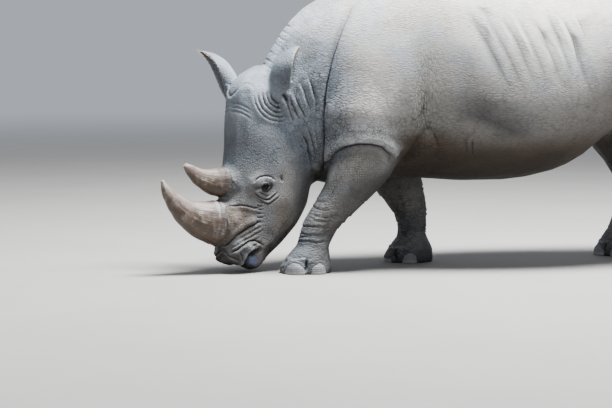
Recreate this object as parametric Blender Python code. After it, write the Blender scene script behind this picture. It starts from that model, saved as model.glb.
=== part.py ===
"""White rhinoceros, life size, walking with its head lowered to the ground.

Metres, +Z up. The head points along -X and the animal's left side along -Y.
The flesh is lofted from cross-sections and rounded masses, blended into one
body, and parted by thin cuts where a person names the parts. Horns, eyes, ears
and toenails are solids of their own, each a hair's breadth from its neighbour.
"""

import math
from dataclasses import dataclass

import bmesh
import bpy
import numpy as np
from mathutils import Euler, Matrix, Vector

# Driving sizes of the animal.
HUMP_HEIGHT = 1.76
BELLY_HEIGHT = 0.485
BODY_HALF_WIDTH = 0.53
HEAD_LENGTH = 1.10
EYE_RADIUS = 0.026

# The head hangs from the poll, leans a little forward, and turns to the left.
POLL = Vector((-1.15, -0.01, 1.13))
HEAD_LEAN = math.radians(7)
HEAD_TURN = math.radians(16)
HEAD_ROLL = math.radians(4)

# How finely the flesh is blended, and how many faces it keeps.
BLEND_GRAIN = 0.014
BLEND_PASSES = 7
FLESH_FACES = 3200
# Corners of a section through the flesh, the tail, a horn and the brush.
SIDES = 48
TAIL_SIDES = 12
HORN_SIDES = 14
TUFT_SIDES = 10
# Gaps: along a cut and round an eye or nail, round a horn or the brush, and round
# an ear, whose root lies in a fold.
GAP = 0.0003
HEAD_GAP = 0.0009
EAR_GAP = 0.0016
# The head and the feet keep more faces than the rest.
FINE_BEFORE_X = -0.86
FINE_BELOW_Z = 0.12
FINE_WEIGHT = 0.5
FINE_PULL = 0.0003

# Behind the neck and above the elbows the flesh is softer, with broader curves.
SOFT_ABOVE_Z = 0.70
SOFT_BEHIND_X = -0.86
SOFT_FADE = 0.12
SOFT_PASSES = 40

# Corners across an ear's shell, how far it bows back, and its least inner radius.
EAR_STEPS = 6
EAR_BEND = 0.02
EAR_HOLLOW = 0.3
HEAD_CUT_BREADTH = 0.6
# Each toe's name, turn from the way the foot points, reach from its middle, and the
# breadth of its nail as a share of the usual one.
TOES = (("front", 0, 0.075, 1.22), ("inner", 68, 0.062, 0.92), ("outer", -68, 0.062, 0.92))
TOE_SIZE = (0.070, 0.066, 0.100)
TOES_AHEAD = 0.01
NAIL_SIZE = (0.036, 0.055, 0.062)
NAIL_FORWARD = 0.044
NAIL_HEIGHT = 0.010
# Cut round each ankle: length and breadth, at this section of the leg.
ANKLE_CUT = (0.4, 0.3)
ANKLE_SECTION = 3
LEG_CUT_LENGTH = 1.1
# Leg cuts: distance from the middle plane and height of the inner and the outer end,
# and how steeply they climb to the rear.
FRONT_CUT = ((0.06, 0.42), (0.52, 0.74), 0)
HIND_CUT = ((0.02, 0.68), (0.56, 1.08), 0.35)
# Tail: x, z and radius from the root down. Its brush: z, half depth, half width.
TAIL = ((1.56, 1.36, 0.080), (1.68, 1.30, 0.060), (1.755, 1.17, 0.042), (1.775, 1.00, 0.032),
        (1.770, 0.78, 0.022))
TUFT_SECTIONS = ((0.96, 0.034, 0.036), (0.88, 0.040, 0.050), (0.78, 0.036, 0.054),
                 (0.68, 0.022, 0.036), (0.63, 0.006, 0.010))
# Cuts across the neck and the tail: middle, normal, way along, length and breadth.
NECK_BASE_CUT = ((-0.795, 0, 1.06), (1, 0, -0.03), (0, 0, 1), 1.21, 1.2)
TAIL_CUT = ((1.74, 0, 1.20), (0.45, 0, -0.9), (0.9, 0, 0.45), 0.22, 0.2)
# Rough middles of the parts of the flesh, by which each is known once it is cut.
PART_MIDDLES = {
    "head": (-1.2, -0.1, 0.6), "neck": (-1.0, 0, 0.95), "trunk": (0.4, 0, 1.2),
    "lower_lip": (-1.1, -0.1, 0.15), "tail": (1.74, 0, 0.95),
}
# A loose part with fewer corners than this is a sliver, as is an edge this short.
FEWEST_CORNERS = 20
SLIVER = 0.000002

SKIN = ((0.36, 0.345, 0.33, 1), 0.85)
HORN = ((0.42, 0.32, 0.25, 1), 0.6)
NAIL = ((0.33, 0.3, 0.27, 1), 0.55)
EYE = ((0.015, 0.01, 0.008, 1), 0.08)
TUFT = ((0.06, 0.05, 0.045, 1), 0.8)


@dataclass
class Mass:
    """An ellipsoid of muscle, fat or bone: centre, half sizes, and turn in degrees."""

    at: tuple
    size: tuple
    turn: tuple = (0, 0, 0)


@dataclass
class Leg:
    """One leg in its pose, its sections from the ground up, and the turn of its toes."""

    name: str
    side: int
    sections: tuple
    toe_turn: float


# Trunk sections: x, drop below the hump, rise above the belly line, share of the
# half width, height of the widest level as a share of the depth, squareness.
TRUNK = (
    (-0.93, 0.46, 0.26, 0.24, 0.50, 2.0),
    (-0.88, 0.36, 0.12, 0.44, 0.48, 2.0),
    (-0.74, 0.20, 0.03, 0.60, 0.47, 2.1),
    (-0.50, 0.03, 0.02, 0.72, 0.46, 2.1),
    (-0.25, 0.02, 0.02, 0.80, 0.45, 2.1),
    (0.05, 0.09, 0.00, 0.92, 0.44, 2.2),
    (0.38, 0.13, 0.01, 1.00, 0.43, 2.2),
    (0.66, 0.12, 0.085, 0.99, 0.44, 2.2),
    (0.90, 0.09, 0.25, 0.91, 0.46, 2.1),
    (1.16, 0.09, 0.37, 0.82, 0.50, 2.1),
    (1.42, 0.17, 0.40, 0.70, 0.52, 2.0),
    (1.59, 0.33, 0.42, 0.50, 0.55, 2.0),
    (1.66, 0.50, 0.54, 0.24, 0.55, 2.0),
)

# Neck sections: x, y, z of the middle, lean in degrees, half width, reach up, reach down.
NECK = (
    (-0.50, 0.00, 1.12, 0, 0.36, 0.56, 0.58),
    (-0.70, 0.00, 1.06, -2, 0.32, 0.51, 0.56),
    (-0.84, 0.00, 1.00, -8, 0.27, 0.47, 0.50),
    (-0.97, -0.01, 0.96, -20, 0.22, 0.31, 0.34),
    (-1.06, -0.03, 0.93, -32, 0.18, 0.18, 0.26),
)

# Head sections: share of the length down from the poll, reach forward to the brow,
# reach back to the jaw, half width, squareness.
HEAD = (
    (-0.02, 0.03, 0.06, 0.070, 2.0),
    (0.04, 0.115, 0.12, 0.125, 2.0),
    (0.13, 0.168, 0.17, 0.160, 2.2),
    (0.26, 0.178, 0.250, 0.166, 2.3),
    (0.40, 0.170, 0.325, 0.168, 2.3),
    (0.52, 0.172, 0.362, 0.168, 2.3),
    (0.64, 0.172, 0.358, 0.158, 2.3),
    (0.76, 0.170, 0.305, 0.145, 2.4),
    (0.87, 0.165, 0.205, 0.135, 2.5),
    (0.95, 0.145, 0.120, 0.120, 2.4),
    (1.00, 0.100, 0.065, 0.085, 2.2),
)

# Leg sections from the ground up: height, x of the front, x of the rear, distance
# from the middle plane, half width.
LEGS = (
    Leg("front_left", -1, (
        (-0.03, -1.07, -0.805, 0.26, 0.115), (0.03, -1.09, -0.80, 0.26, 0.125),
        (0.09, -1.05, -0.81, 0.26, 0.120), (0.15, -0.995, -0.81, 0.26, 0.100),
        (0.22, -0.975, -0.775, 0.26, 0.095), (0.30, -0.945, -0.70, 0.26, 0.105),
        (0.40, -0.885, -0.59, 0.265, 0.112), (0.52, -0.82, -0.47, 0.265, 0.125),
        (0.66, -0.78, -0.39, 0.255, 0.130), (0.84, -0.76, -0.36, 0.22, 0.140),
        (1.04, -0.70, -0.36, 0.16, 0.140),
    ), 42),
    Leg("front_right", 1, (
        (-0.03, -0.34, -0.08, 0.17, 0.115), (0.03, -0.355, -0.065, 0.17, 0.125),
        (0.09, -0.325, -0.075, 0.17, 0.120), (0.15, -0.275, -0.105, 0.175, 0.100),
        (0.22, -0.275, -0.105, 0.18, 0.095), (0.30, -0.31, -0.10, 0.19, 0.105),
        (0.40, -0.385, -0.105, 0.21, 0.112), (0.52, -0.48, -0.13, 0.235, 0.125),
        (0.66, -0.59, -0.20, 0.245, 0.130), (0.84, -0.67, -0.26, 0.22, 0.140),
        (1.04, -0.66, -0.30, 0.16, 0.140),
    ), 0),
    Leg("hind_right", 1, (
        (-0.03, 1.02, 1.25, 0.22, 0.105), (0.03, 1.00, 1.255, 0.22, 0.115),
        (0.09, 1.02, 1.245, 0.22, 0.110), (0.15, 1.065, 1.235, 0.225, 0.092),
        (0.23, 1.10, 1.27, 0.23, 0.084), (0.34, 1.12, 1.34, 0.235, 0.082),
        (0.44, 1.12, 1.38, 0.24, 0.088), (0.56, 1.06, 1.36, 0.245, 0.110),
        (0.68, 0.96, 1.40, 0.25, 0.145), (0.84, 0.91, 1.50, 0.25, 0.170),
        (1.04, 0.94, 1.58, 0.23, 0.180), (1.24, 1.02, 1.54, 0.19, 0.170),
    ), -4),
    Leg("hind_left", -1, (
        (-0.03, 1.46, 1.69, 0.24, 0.105), (0.03, 1.44, 1.695, 0.24, 0.115),
        (0.09, 1.46, 1.69, 0.24, 0.110), (0.15, 1.51, 1.685, 0.24, 0.092),
        (0.23, 1.54, 1.72, 0.24, 0.084), (0.34, 1.53, 1.76, 0.24, 0.082),
        (0.44, 1.45, 1.76, 0.245, 0.088), (0.56, 1.30, 1.66, 0.25, 0.110),
        (0.70, 1.13, 1.59, 0.25, 0.145), (0.86, 1.01, 1.58, 0.25, 0.170),
        (1.04, 0.98, 1.59, 0.23, 0.180), (1.24, 1.04, 1.54, 0.19, 0.170),
    ), 4),
)

# Masses on the body. Those of BOTH_SIDES are mirrored to the other side.
MIDDLE = (
    Mass((-0.36, 0, 1.50), (0.44, 0.20, 0.26)),
    Mass((-0.70, 0, 0.66), (0.22, 0.20, 0.19)),
    Mass((-0.86, 0, 0.73), (0.12, 0.13, 0.26)),
    Mass((1.20, 0, 1.45), (0.40, 0.24, 0.22)),
    Mass((1.60, 0, 1.28), (0.10, 0.09, 0.12)),
)
BOTH_SIDES = (
    Mass((-0.54, -0.20, 1.10), (0.29, 0.185, 0.48), (0, 10, 0)),
    Mass((-0.58, -0.245, 0.88), (0.27, 0.155, 0.22)),
    Mass((1.28, -0.23, 1.14), (0.34, 0.20, 0.42), (0, -12, 0)),
)
# Masses on the head, in head places: share of the length, forward, to the left.
ON_HEAD = (
    Mass((0.145, 0.02, 0.09), (0.10, 0.09, 0.075)),
    Mass((0.145, 0.03, -0.09), (0.10, 0.09, 0.075)),
    Mass((0.59, 0.02, 0.125), (0.075, 0.07, 0.048)),
    Mass((0.59, 0.02, -0.125), (0.075, 0.07, 0.048)),
    Mass((0.47, -0.20, 0.085), (0.22, 0.12, 0.085)),
    Mass((0.47, -0.20, -0.085), (0.22, 0.12, 0.085)),
    Mass((0.59, 0.125, 0), (0.115, 0.085, 0.105)),
    Mass((0.80, 0.145, 0), (0.155, 0.085, 0.128)),
    Mass((0.93, 0.065, 0.075), (0.080, 0.095, 0.070)),
    Mass((0.93, 0.065, -0.075), (0.080, 0.095, 0.070)),
    Mass((0.97, -0.03, 0), (0.060, 0.055, 0.085)),
)
# Places on the head, as above.
EYE_PLACE = (0.605, -0.005, 0.152)
NECK_CUT = ((-0.233, -0.060, 0), (0.632, -0.397, 0))
MOUTH_CUT = ((1.08, 0.055, 0), (0.865, -0.035, 0))
CHIN_CUT = ((0.868, -0.028, 0), (0.84, -0.24, 0))

# Ears: root and tip, and the way each opens, all in head places or directions.
EARS = (
    ("ear_left", (0.150, -0.045, 0.140), (-0.112, -0.115, 0.235), (0.25, -0.95, 0.15)),
    ("ear_right", (0.175, 0.050, -0.120), (-0.075, 0.275, -0.225), (0.80, 0.55, -0.10)),
)
# Ear sections: share of the length, radius, half angle of the shell, thickness.
EAR_SHELL = (
    (0.00, 0.056, 165, 0.018), (0.20, 0.062, 148, 0.016), (0.42, 0.072, 118, 0.013),
    (0.64, 0.073, 95, 0.012), (0.82, 0.056, 80, 0.011), (0.94, 0.030, 70, 0.010),
    (1.00, 0.008, 60, 0.006),
)

# Horns: share of the head's length and reach forward of the middle, half size along
# the head, half width.
HORNS = {
    "horn_front": (
        (0.800, 0.110, 0.124, 0.112), (0.803, 0.205, 0.124, 0.107), (0.793, 0.300, 0.106, 0.088),
        (0.765, 0.395, 0.076, 0.066), (0.710, 0.480, 0.046, 0.042), (0.660, 0.530, 0.027, 0.025),
        (0.617, 0.556, 0.008, 0.008),
    ),
    "horn_rear": (
        (0.590, 0.080, 0.092, 0.104), (0.592, 0.155, 0.088, 0.094), (0.598, 0.245, 0.074, 0.056),
        (0.582, 0.325, 0.050, 0.036), (0.550, 0.390, 0.030, 0.024), (0.528, 0.425, 0.012, 0.012),
    ),
}


def head_axes():
    """Directions down the head, forward from it, and to its left."""
    turn = Euler((0, 0, HEAD_TURN)).to_matrix()
    down = turn @ Vector((-math.sin(HEAD_LEAN), 0, -math.cos(HEAD_LEAN)))
    forward = turn @ Vector((-math.cos(HEAD_LEAN), 0, math.sin(HEAD_LEAN)))
    roll = Matrix.Rotation(HEAD_ROLL, 3, forward)
    return roll @ down, forward, roll @ forward.cross(down)


DOWN, FORWARD, LEFT = head_axes()


def head_place(share, forward, left):
    """World point at a share of the head's length, so far forward and to the left."""
    return POLL + DOWN * (share * HEAD_LENGTH) + FORWARD * forward + LEFT * left


def spline(rows, steps):
    """Smooth curve through rows of numbers, with so many steps from row to row."""
    rows = np.asarray(rows, float)
    padded = np.vstack([2 * rows[0] - rows[1], rows, 2 * rows[-1] - rows[-2]])
    made = []
    for a, b, c, d in zip(padded, padded[1:], padded[2:], padded[3:]):
        for t in np.arange(steps) / steps:
            made.append(0.5 * (2 * b + (c - a) * t + (2 * a - 5 * b + 4 * c - d) * t**2
                               + (3 * b - a - 3 * c + d) * t**3))
    return np.array(made + [rows[-1]])


def oval(middle, side, upright, half_width, above, below, squareness=2.0, sides=SIDES):
    """Points of a rounded section, which may reach further one way than the other."""
    angle = np.arange(sides) * 2 * math.pi / sides
    across = np.sign(np.cos(angle)) * np.abs(np.cos(angle)) ** (2 / squareness)
    along = np.sign(np.sin(angle)) * np.abs(np.sin(angle)) ** (2 / squareness)
    reach = np.where(along > 0, above, below)
    return (np.asarray(middle) + np.outer(across * half_width, side)
            + np.outer(along * reach, upright))


def loft(rings, name="loft"):
    """Closed mesh object through the rings, with a cap at each end."""
    shape = bmesh.new()
    loops = [[shape.verts.new(point) for point in ring] for ring in rings]
    for lower, upper in zip(loops, loops[1:]):
        for i in range(len(lower)):
            j = (i + 1) % len(lower)
            shape.faces.new((lower[i], lower[j], upper[j], upper[i]))
    shape.faces.new(loops[0])
    shape.faces.new(loops[-1])
    bmesh.ops.recalc_face_normals(shape, faces=shape.faces)
    return object_of(shape, name)


def object_of(shape, name):
    """Object in the scene that holds the bmesh, which is freed."""
    mesh = bpy.data.meshes.new(name)
    shape.to_mesh(mesh)
    shape.free()
    obj = bpy.data.objects.new(name, mesh)
    bpy.context.scene.collection.objects.link(obj)
    return obj


def ellipsoid(centre, size, axes, name="mass", detail=3):
    """Ellipsoid object with its half sizes along three given directions."""
    shape = bmesh.new()
    bmesh.ops.create_icosphere(shape, subdivisions=detail, radius=1)
    turn = Matrix([axis * reach for axis, reach in zip(axes, size)]).transposed().to_4x4()
    bmesh.ops.transform(shape, matrix=Matrix.Translation(centre) @ turn, verts=shape.verts)
    bmesh.ops.recalc_face_normals(shape, faces=shape.faces)
    return object_of(shape, name)


def world_mass(mass, mirror=1):
    """A mass on the body, or its copy on the other side."""
    turn = Euler([math.radians(a) for a in mass.turn]).to_matrix()
    axes = [Vector((v.x, v.y * mirror, v.z)) for v in turn.transposed()]
    x, y, z = mass.at
    return ellipsoid(Vector((x, y * mirror, z)), mass.size, axes)


def trunk():
    """Barrel of the body from the chest to the rump."""
    rings = []
    for x, drop, rise, share, level, squareness in spline(TRUNK, 4):
        top, bottom = HUMP_HEIGHT - drop, BELLY_HEIGHT + rise
        middle = bottom + level * (top - bottom)
        rings.append(oval((x, 0, middle), (0, 1, 0), (0, 0, 1), share * BODY_HALF_WIDTH,
                          top - middle, middle - bottom, squareness))
    return loft(rings)


def neck():
    """Deep neck that bends down to the head."""
    rings = []
    for x, y, z, lean, half_width, up, below in spline(NECK, 4):
        tilt = math.radians(lean)
        upright = (math.sin(tilt), 0, math.cos(tilt))
        rings.append(oval((x, y, z), (0, 1, 0), upright, half_width, up, below))
    return loft(rings)


def head():
    """Long head with its masses of muscle and bone."""
    rings = []
    for share, front, back, half_width, squareness in spline(HEAD, 4):
        middle = head_place(share, (front - back) / 2, 0)
        reach = (front + back) / 2
        rings.append(oval(middle, LEFT, FORWARD, half_width, reach, reach, squareness))
    made = [loft(rings)]
    made += [ellipsoid(head_place(*mass.at), mass.size, (DOWN, FORWARD, LEFT))
             for mass in ON_HEAD]
    return made


def toe_places(leg):
    """Middle of each toe on the ground, with the direction in which it points."""
    _, front, rear, spread, _ = leg.sections[1]
    middle = Vector(((front + rear) / 2 + TOES_AHEAD, leg.side * spread, 0))
    places = []
    for _, angle, reach, _ in TOES:
        turn = math.radians(angle * leg.side + leg.toe_turn)
        way = Vector((-math.cos(turn), -math.sin(turn), 0))
        places.append((middle + way * reach, way))
    return places


def leg_flesh(leg):
    """One leg with its three toes, reaching a little below the ground."""
    rings = []
    for z, front, rear, spread, half_width in spline(leg.sections, 4):
        rings.append(oval(((front + rear) / 2, leg.side * spread, z), (0, 1, 0), (-1, 0, 0),
                          half_width, (rear - front) / 2, (rear - front) / 2, 2.2))
    made = [loft(rings)]
    for place, way in toe_places(leg):
        across = Vector((-way.y, way.x, 0))
        made.append(ellipsoid(place, TOE_SIZE, (way, across, Vector((0, 0, 1)))))
    return made


def tail():
    """Tail that hangs close behind the rump."""
    rows = spline(TAIL, 4)
    rings = []
    for (x, z, radius), (run, rise) in zip(rows, np.gradient(rows[:, :2], axis=0)):
        along = Vector((run, 0, rise)).normalized()
        rings.append(oval((x, 0, z), (0, 1, 0), along.cross(Vector((0, 1, 0))),
                          radius, radius, radius, sides=TAIL_SIDES))
    return loft(rings)


def tail_tuft():
    """Flat brush of bristles round the end of the tail."""
    rings = []
    for z, depth, half_width in spline(TUFT_SECTIONS, 2):
        rings.append(oval((TAIL[-1][0], 0, z), (0, 1, 0), (1, 0, 0), half_width, depth, depth,
                          sides=TUFT_SIDES))
    return loft(rings, "tail_tuft")


def ear(name, root, tip, opening):
    """Cupped ear that opens one way, as a shell closed at its rim."""
    start, end = head_place(*root), head_place(*tip)
    along = (end - start).normalized()
    face = DOWN * opening[0] + FORWARD * opening[1] + LEFT * opening[2]
    face = (face - along * face.dot(along)).normalized()
    across = along.cross(face)
    rings = []
    for share, radius, half_angle, wall in spline(EAR_SHELL, 2)[:-1]:
        sweep = np.radians(np.linspace(-half_angle, half_angle, EAR_STEPS))
        middle = start + (end - start) * share - face * (EAR_BEND * math.sin(math.pi * share))
        ring = [middle - face * (radius * math.cos(a)) + across * (radius * math.sin(a))
                for a in sweep]
        inner = max(radius - wall, EAR_HOLLOW * radius)
        ring += [middle - face * (inner * math.cos(a)) + across * (inner * math.sin(a))
                 for a in reversed(sweep)]
        rings.append(ring)
    return loft(rings, name)


def horn(name, sections):
    """Curved horn that narrows to its tip."""
    rings = []
    rows = spline(sections, 2)
    steps = np.gradient(rows[:, :2] * (HEAD_LENGTH, 1), axis=0)
    for (share, forward, depth, half_width), (run, rise) in zip(rows, steps):
        along = (DOWN * run + FORWARD * rise).normalized()
        rings.append(oval(head_place(share, forward, 0), LEFT, along.cross(LEFT), half_width,
                          depth, depth, sides=HORN_SIDES))
    return loft(rings, name)


def toenail(name, place, way, breadth):
    """Broad nail on the front of a toe, flat where it meets the ground."""
    thick, half_width, rise = NAIL_SIZE
    across = Vector((-way.y, way.x, 0))
    middle = place + way * NAIL_FORWARD + Vector((0, 0, NAIL_HEIGHT))
    nail = ellipsoid(middle, (thick, half_width * breadth, rise),
                     (way, across, Vector((0, 0, 1))), name, 2)
    return sliced(nail, Vector((0, 0, 0)), Vector((0, 0, 1)))


def join(objects, name):
    """One object that holds the meshes of all of these."""
    shape = bmesh.new()
    for obj in objects:
        shape.from_mesh(obj.data)
        bpy.data.objects.remove(obj)
    return object_of(shape, name)


def copy_of(obj, swell):
    """Copy of an object with its surface moved out a little."""
    shape = bmesh.new()
    shape.from_mesh(obj.data)
    shape.normal_update()
    for vert in shape.verts:
        vert.co += vert.normal * swell
    return object_of(shape, "swollen")


def sliced(obj, point, normal):
    """The object with all behind a plane taken away and the cut closed flat."""
    shape = bmesh.new()
    shape.from_mesh(obj.data)
    everything = shape.verts[:] + shape.edges[:] + shape.faces[:]
    cut = bmesh.ops.bisect_plane(shape, geom=everything, plane_co=point, plane_no=normal,
                                 clear_inner=True)
    edges = [item for item in cut["geom_cut"] if isinstance(item, bmesh.types.BMEdge)]
    bmesh.ops.edgeloop_fill(shape, edges=edges)
    bmesh.ops.recalc_face_normals(shape, faces=shape.faces)
    shape.to_mesh(obj.data)
    shape.free()
    return obj


def applied(obj, kind, **settings):
    """The object with one modifier applied to it."""
    modifier = obj.modifiers.new(kind.title(), kind)
    for key, value in settings.items():
        setattr(modifier, key, value)
    obj.data = bpy.data.meshes.new_from_object(
        obj.evaluated_get(bpy.context.evaluated_depsgraph_get()))
    obj.modifiers.remove(modifier)
    return obj


def carved(obj, cutters, folded=False):
    """The object with each cutter taken out of it, and the cutters removed."""
    for cutter in cutters:
        applied(obj, "BOOLEAN", operation="DIFFERENCE", object=cutter, use_self=folded)
        bpy.data.objects.remove(cutter)
    return obj


def blended(obj):
    """The joined shapes as one smooth skin with few faces, most of them on the head."""
    applied(obj, "REMESH", mode="VOXEL", voxel_size=BLEND_GRAIN)
    applied(obj, "SMOOTH", factor=0.5, iterations=BLEND_PASSES)
    soft = obj.vertex_groups.new(name="soft")
    plain = obj.vertex_groups.new(name="plain")
    for vert in obj.data.vertices:
        fine = vert.co.x < FINE_BEFORE_X or vert.co.z < FINE_BELOW_Z
        plain.add([vert.index], FINE_WEIGHT if fine else 1, "REPLACE")
        height = (vert.co.z - SOFT_ABOVE_Z) / SOFT_FADE
        behind = (vert.co.x - SOFT_BEHIND_X) / SOFT_FADE
        soft.add([vert.index], min(max(min(height, behind), 0), 1), "REPLACE")
    applied(obj, "SMOOTH", factor=0.5, iterations=SOFT_PASSES, vertex_group="soft")
    applied(obj, "DECIMATE", ratio=FLESH_FACES / (2 * len(obj.data.polygons)),
            use_collapse_triangulate=True, vertex_group="plain",
            vertex_group_factor=FINE_PULL)
    return sliced(obj, Vector((0, 0, 0)), Vector((0, 0, 1)))


def slab(centre, normal, along, length, breadth):
    """Sheet as thick as the gap between two parts, for a cut through flesh."""
    normal = Vector(normal).normalized()
    along = (Vector(along) - normal * normal.dot(Vector(along))).normalized()
    turn = Matrix((along * length, normal.cross(along) * breadth, normal * GAP)).transposed()
    place = Matrix.Translation(Vector(centre)) @ turn.to_4x4()
    shape = bmesh.new()
    bmesh.ops.create_cube(shape, size=1)
    bmesh.ops.transform(shape, matrix=place, verts=shape.verts)
    bmesh.ops.recalc_face_normals(shape, faces=shape.faces)
    return object_of(shape, "cut")


def head_slab(ends):
    """Cut across the head along the line between two head places."""
    start, end = (head_place(*place) for place in ends)
    return slab((start + end) / 2, (end - start).cross(LEFT), end - start,
                (end - start).length, HEAD_CUT_BREADTH)


def cuts():
    """All the thin cuts that part the flesh."""
    made = [
        slab(*NECK_BASE_CUT),
        head_slab(NECK_CUT),
        head_slab(MOUTH_CUT),
        head_slab(CHIN_CUT),
        slab(*TAIL_CUT),
    ]
    for leg in LEGS:
        inner, outer, climb = HIND_CUT if leg.name.startswith("hind") else FRONT_CUT
        x = (leg.sections[-1][1] + leg.sections[-1][2]) / 2
        low = Vector((x, leg.side * inner[0], inner[1]))
        high = Vector((x, leg.side * outer[0], outer[1]))
        along = Vector((1, 0, climb))
        made.append(slab((low + high) / 2, (high - low).cross(along), along,
                         LEG_CUT_LENGTH, (high - low).length))
        z, front, rear, spread, _ = leg.sections[ANKLE_SECTION]
        made.append(slab(Vector(((front + rear) / 2, leg.side * spread, z)), (0, 0, 1),
                         (1, 0, 0), *ANKLE_CUT))
    return made


def loose_parts(shape):
    """Sets of connected vertices of a bmesh, without slivers."""
    left = set(shape.verts)
    for start in shape.verts:
        if start not in left:
            continue
        left.discard(start)
        found, waiting = [start], [start]
        while waiting:
            for link in waiting.pop().link_edges:
                for vert in link.verts:
                    if vert in left:
                        left.discard(vert)
                        found.append(vert)
                        waiting.append(vert)
        if len(found) >= FEWEST_CORNERS:
            yield found


def parted(flesh):
    """The flesh's loose parts as objects, each named for the place it is nearest."""
    places = {name: Vector(place) for name, place in PART_MIDDLES.items()}
    for leg in LEGS:
        for part, row in (("foot", 1), ("leg", 6)):
            z, front, rear, spread, _ = leg.sections[row]
            places[f"{leg.name}_{part}"] = Vector(((front + rear) / 2, leg.side * spread, z))
    shape = bmesh.new()
    shape.from_mesh(flesh.data)
    bmesh.ops.dissolve_degenerate(shape, dist=SLIVER, edges=shape.edges)
    bmesh.ops.triangulate(shape, faces=shape.faces)
    named = []
    for verts in loose_parts(shape):
        box = np.array([vert.co for vert in verts])
        middle = Vector((box.min(axis=0) + box.max(axis=0)) / 2)
        name = min(places, key=lambda key: (places[key] - middle).length)
        part = bmesh.new()
        twins = {vert: part.verts.new(vert.co) for vert in verts}
        faces = {face for vert in verts for face in vert.link_faces}
        for face in sorted(faces, key=lambda face: face.index):
            part.faces.new([twins[vert] for vert in face.verts])
        named.append(object_of(part, name))
    shape.free()
    bpy.data.objects.remove(flesh)
    return named


def material(name, finish):
    """Plain material of a colour and roughness."""
    made = bpy.data.materials.new(name)
    made.use_nodes = True
    shader = made.node_tree.nodes["Principled BSDF"]
    shader.inputs["Base Color"].default_value, shader.inputs["Roughness"].default_value = finish
    return made


def settle(objects):
    """Move every piece so that the animal's box stands centred on the origin."""
    corners = np.array([vert.co for obj in objects for vert in obj.data.vertices])
    low, high = corners.min(axis=0), corners.max(axis=0)
    shift = Vector((-(low[0] + high[0]) / 2, -(low[1] + high[1]) / 2, -low[2]))
    for obj in objects:
        obj.data.transform(Matrix.Translation(shift))


def main():
    """Make the animal."""
    for obj in list(bpy.data.objects):
        bpy.data.objects.remove(obj)
    pieces = [trunk(), neck(), *head(), tail()]
    pieces += [world_mass(mass) for mass in MIDDLE + BOTH_SIDES]
    pieces += [world_mass(mass, -1) for mass in BOTH_SIDES]
    for leg in LEGS:
        pieces += leg_flesh(leg)
    flesh = blended(join(pieces, "flesh"))

    eyes = []
    for name, side in (("eye_left", 1), ("eye_right", -1)):
        share, forward, left = EYE_PLACE
        centre = head_place(share, forward, left * side)
        eyes.append(ellipsoid(centre, (EYE_RADIUS,) * 3, (LEFT, DOWN, FORWARD), name, 2))
        carved(flesh, [ellipsoid(centre, (EYE_RADIUS + GAP,) * 3, (LEFT, DOWN, FORWARD))])
    nails = []
    for leg in LEGS:
        for (toe, _, _, breadth), (place, way) in zip(TOES, toe_places(leg)):
            nails.append(toenail(f"{leg.name}_nail_{toe}", place, way, breadth))
    ears = [carved(ear(*row), [copy_of(flesh, EAR_GAP)], True) for row in EARS]
    horns = [carved(horn(name, rows), [copy_of(flesh, HEAD_GAP)], True)
             for name, rows in HORNS.items()]
    tuft = carved(tail_tuft(), [copy_of(flesh, HEAD_GAP)], True)
    carved(flesh, [copy_of(nail, GAP) for nail in nails])
    parts = parted(carved(flesh, cuts()))

    for objects, name, finish in ((parts + ears, "skin", SKIN), (horns, "horn", HORN),
                                  (nails, "nail", NAIL), (eyes, "eye", EYE),
                                  ([tuft], "bristle", TUFT)):
        dress = material(name, finish)
        for obj in objects:
            obj.data.materials.clear()
            obj.data.materials.append(dress)
    settle(parts + ears + horns + nails + eyes + [tuft])


main()
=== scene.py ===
"""White rhinoceros, life size, walking with its head lowered to the ground.

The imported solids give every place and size. One hide covers all the flesh: the solids
are joined, rounded, and then worked in folds, lids, lips and toes. Horns, eyes, nails
and bristles are pieces of their own. Metres, +Z up, head towards -X, left side towards
-Y.
"""

import logging
import math
from dataclasses import dataclass, field, replace
from enum import Enum
from typing import Callable, Iterable, Sequence

import bmesh
import bpy
import numpy as np
from mathutils import Euler, Matrix, Vector
from mathutils.bvhtree import BVHTree
from mathutils.kdtree import KDTree


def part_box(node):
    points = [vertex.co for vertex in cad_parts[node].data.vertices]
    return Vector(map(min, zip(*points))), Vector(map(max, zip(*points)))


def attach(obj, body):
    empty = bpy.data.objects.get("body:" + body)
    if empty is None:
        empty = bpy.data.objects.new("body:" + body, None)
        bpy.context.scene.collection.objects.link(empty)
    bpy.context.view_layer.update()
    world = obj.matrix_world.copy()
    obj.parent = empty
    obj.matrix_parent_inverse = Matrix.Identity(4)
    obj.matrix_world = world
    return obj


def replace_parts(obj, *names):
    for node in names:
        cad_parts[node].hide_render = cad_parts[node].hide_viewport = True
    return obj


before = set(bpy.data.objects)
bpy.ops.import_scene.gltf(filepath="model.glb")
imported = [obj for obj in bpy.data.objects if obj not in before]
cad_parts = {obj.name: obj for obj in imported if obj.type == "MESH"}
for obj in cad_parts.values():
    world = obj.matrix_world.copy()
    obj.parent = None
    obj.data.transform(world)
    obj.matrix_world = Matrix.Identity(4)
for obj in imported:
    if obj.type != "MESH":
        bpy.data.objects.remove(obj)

log = logging.getLogger("rhinoceros")
Point = tuple[float, float, float]
ROOT = "root"
LEGS = ("front_left", "front_right", "hind_left", "hind_right")
TOES = ("front", "inner", "outer")


class Side(Enum):
    """Which side of the animal something is on."""

    LEFT = 1
    RIGHT = -1
    BOTH = 0

    def signs(self) -> tuple[int, ...]:
        """Signs of the left axis to make it with."""
        return (1, -1) if self is Side.BOTH else (self.value,)


# ---------------------------------------------------------------- places and shapes


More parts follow.
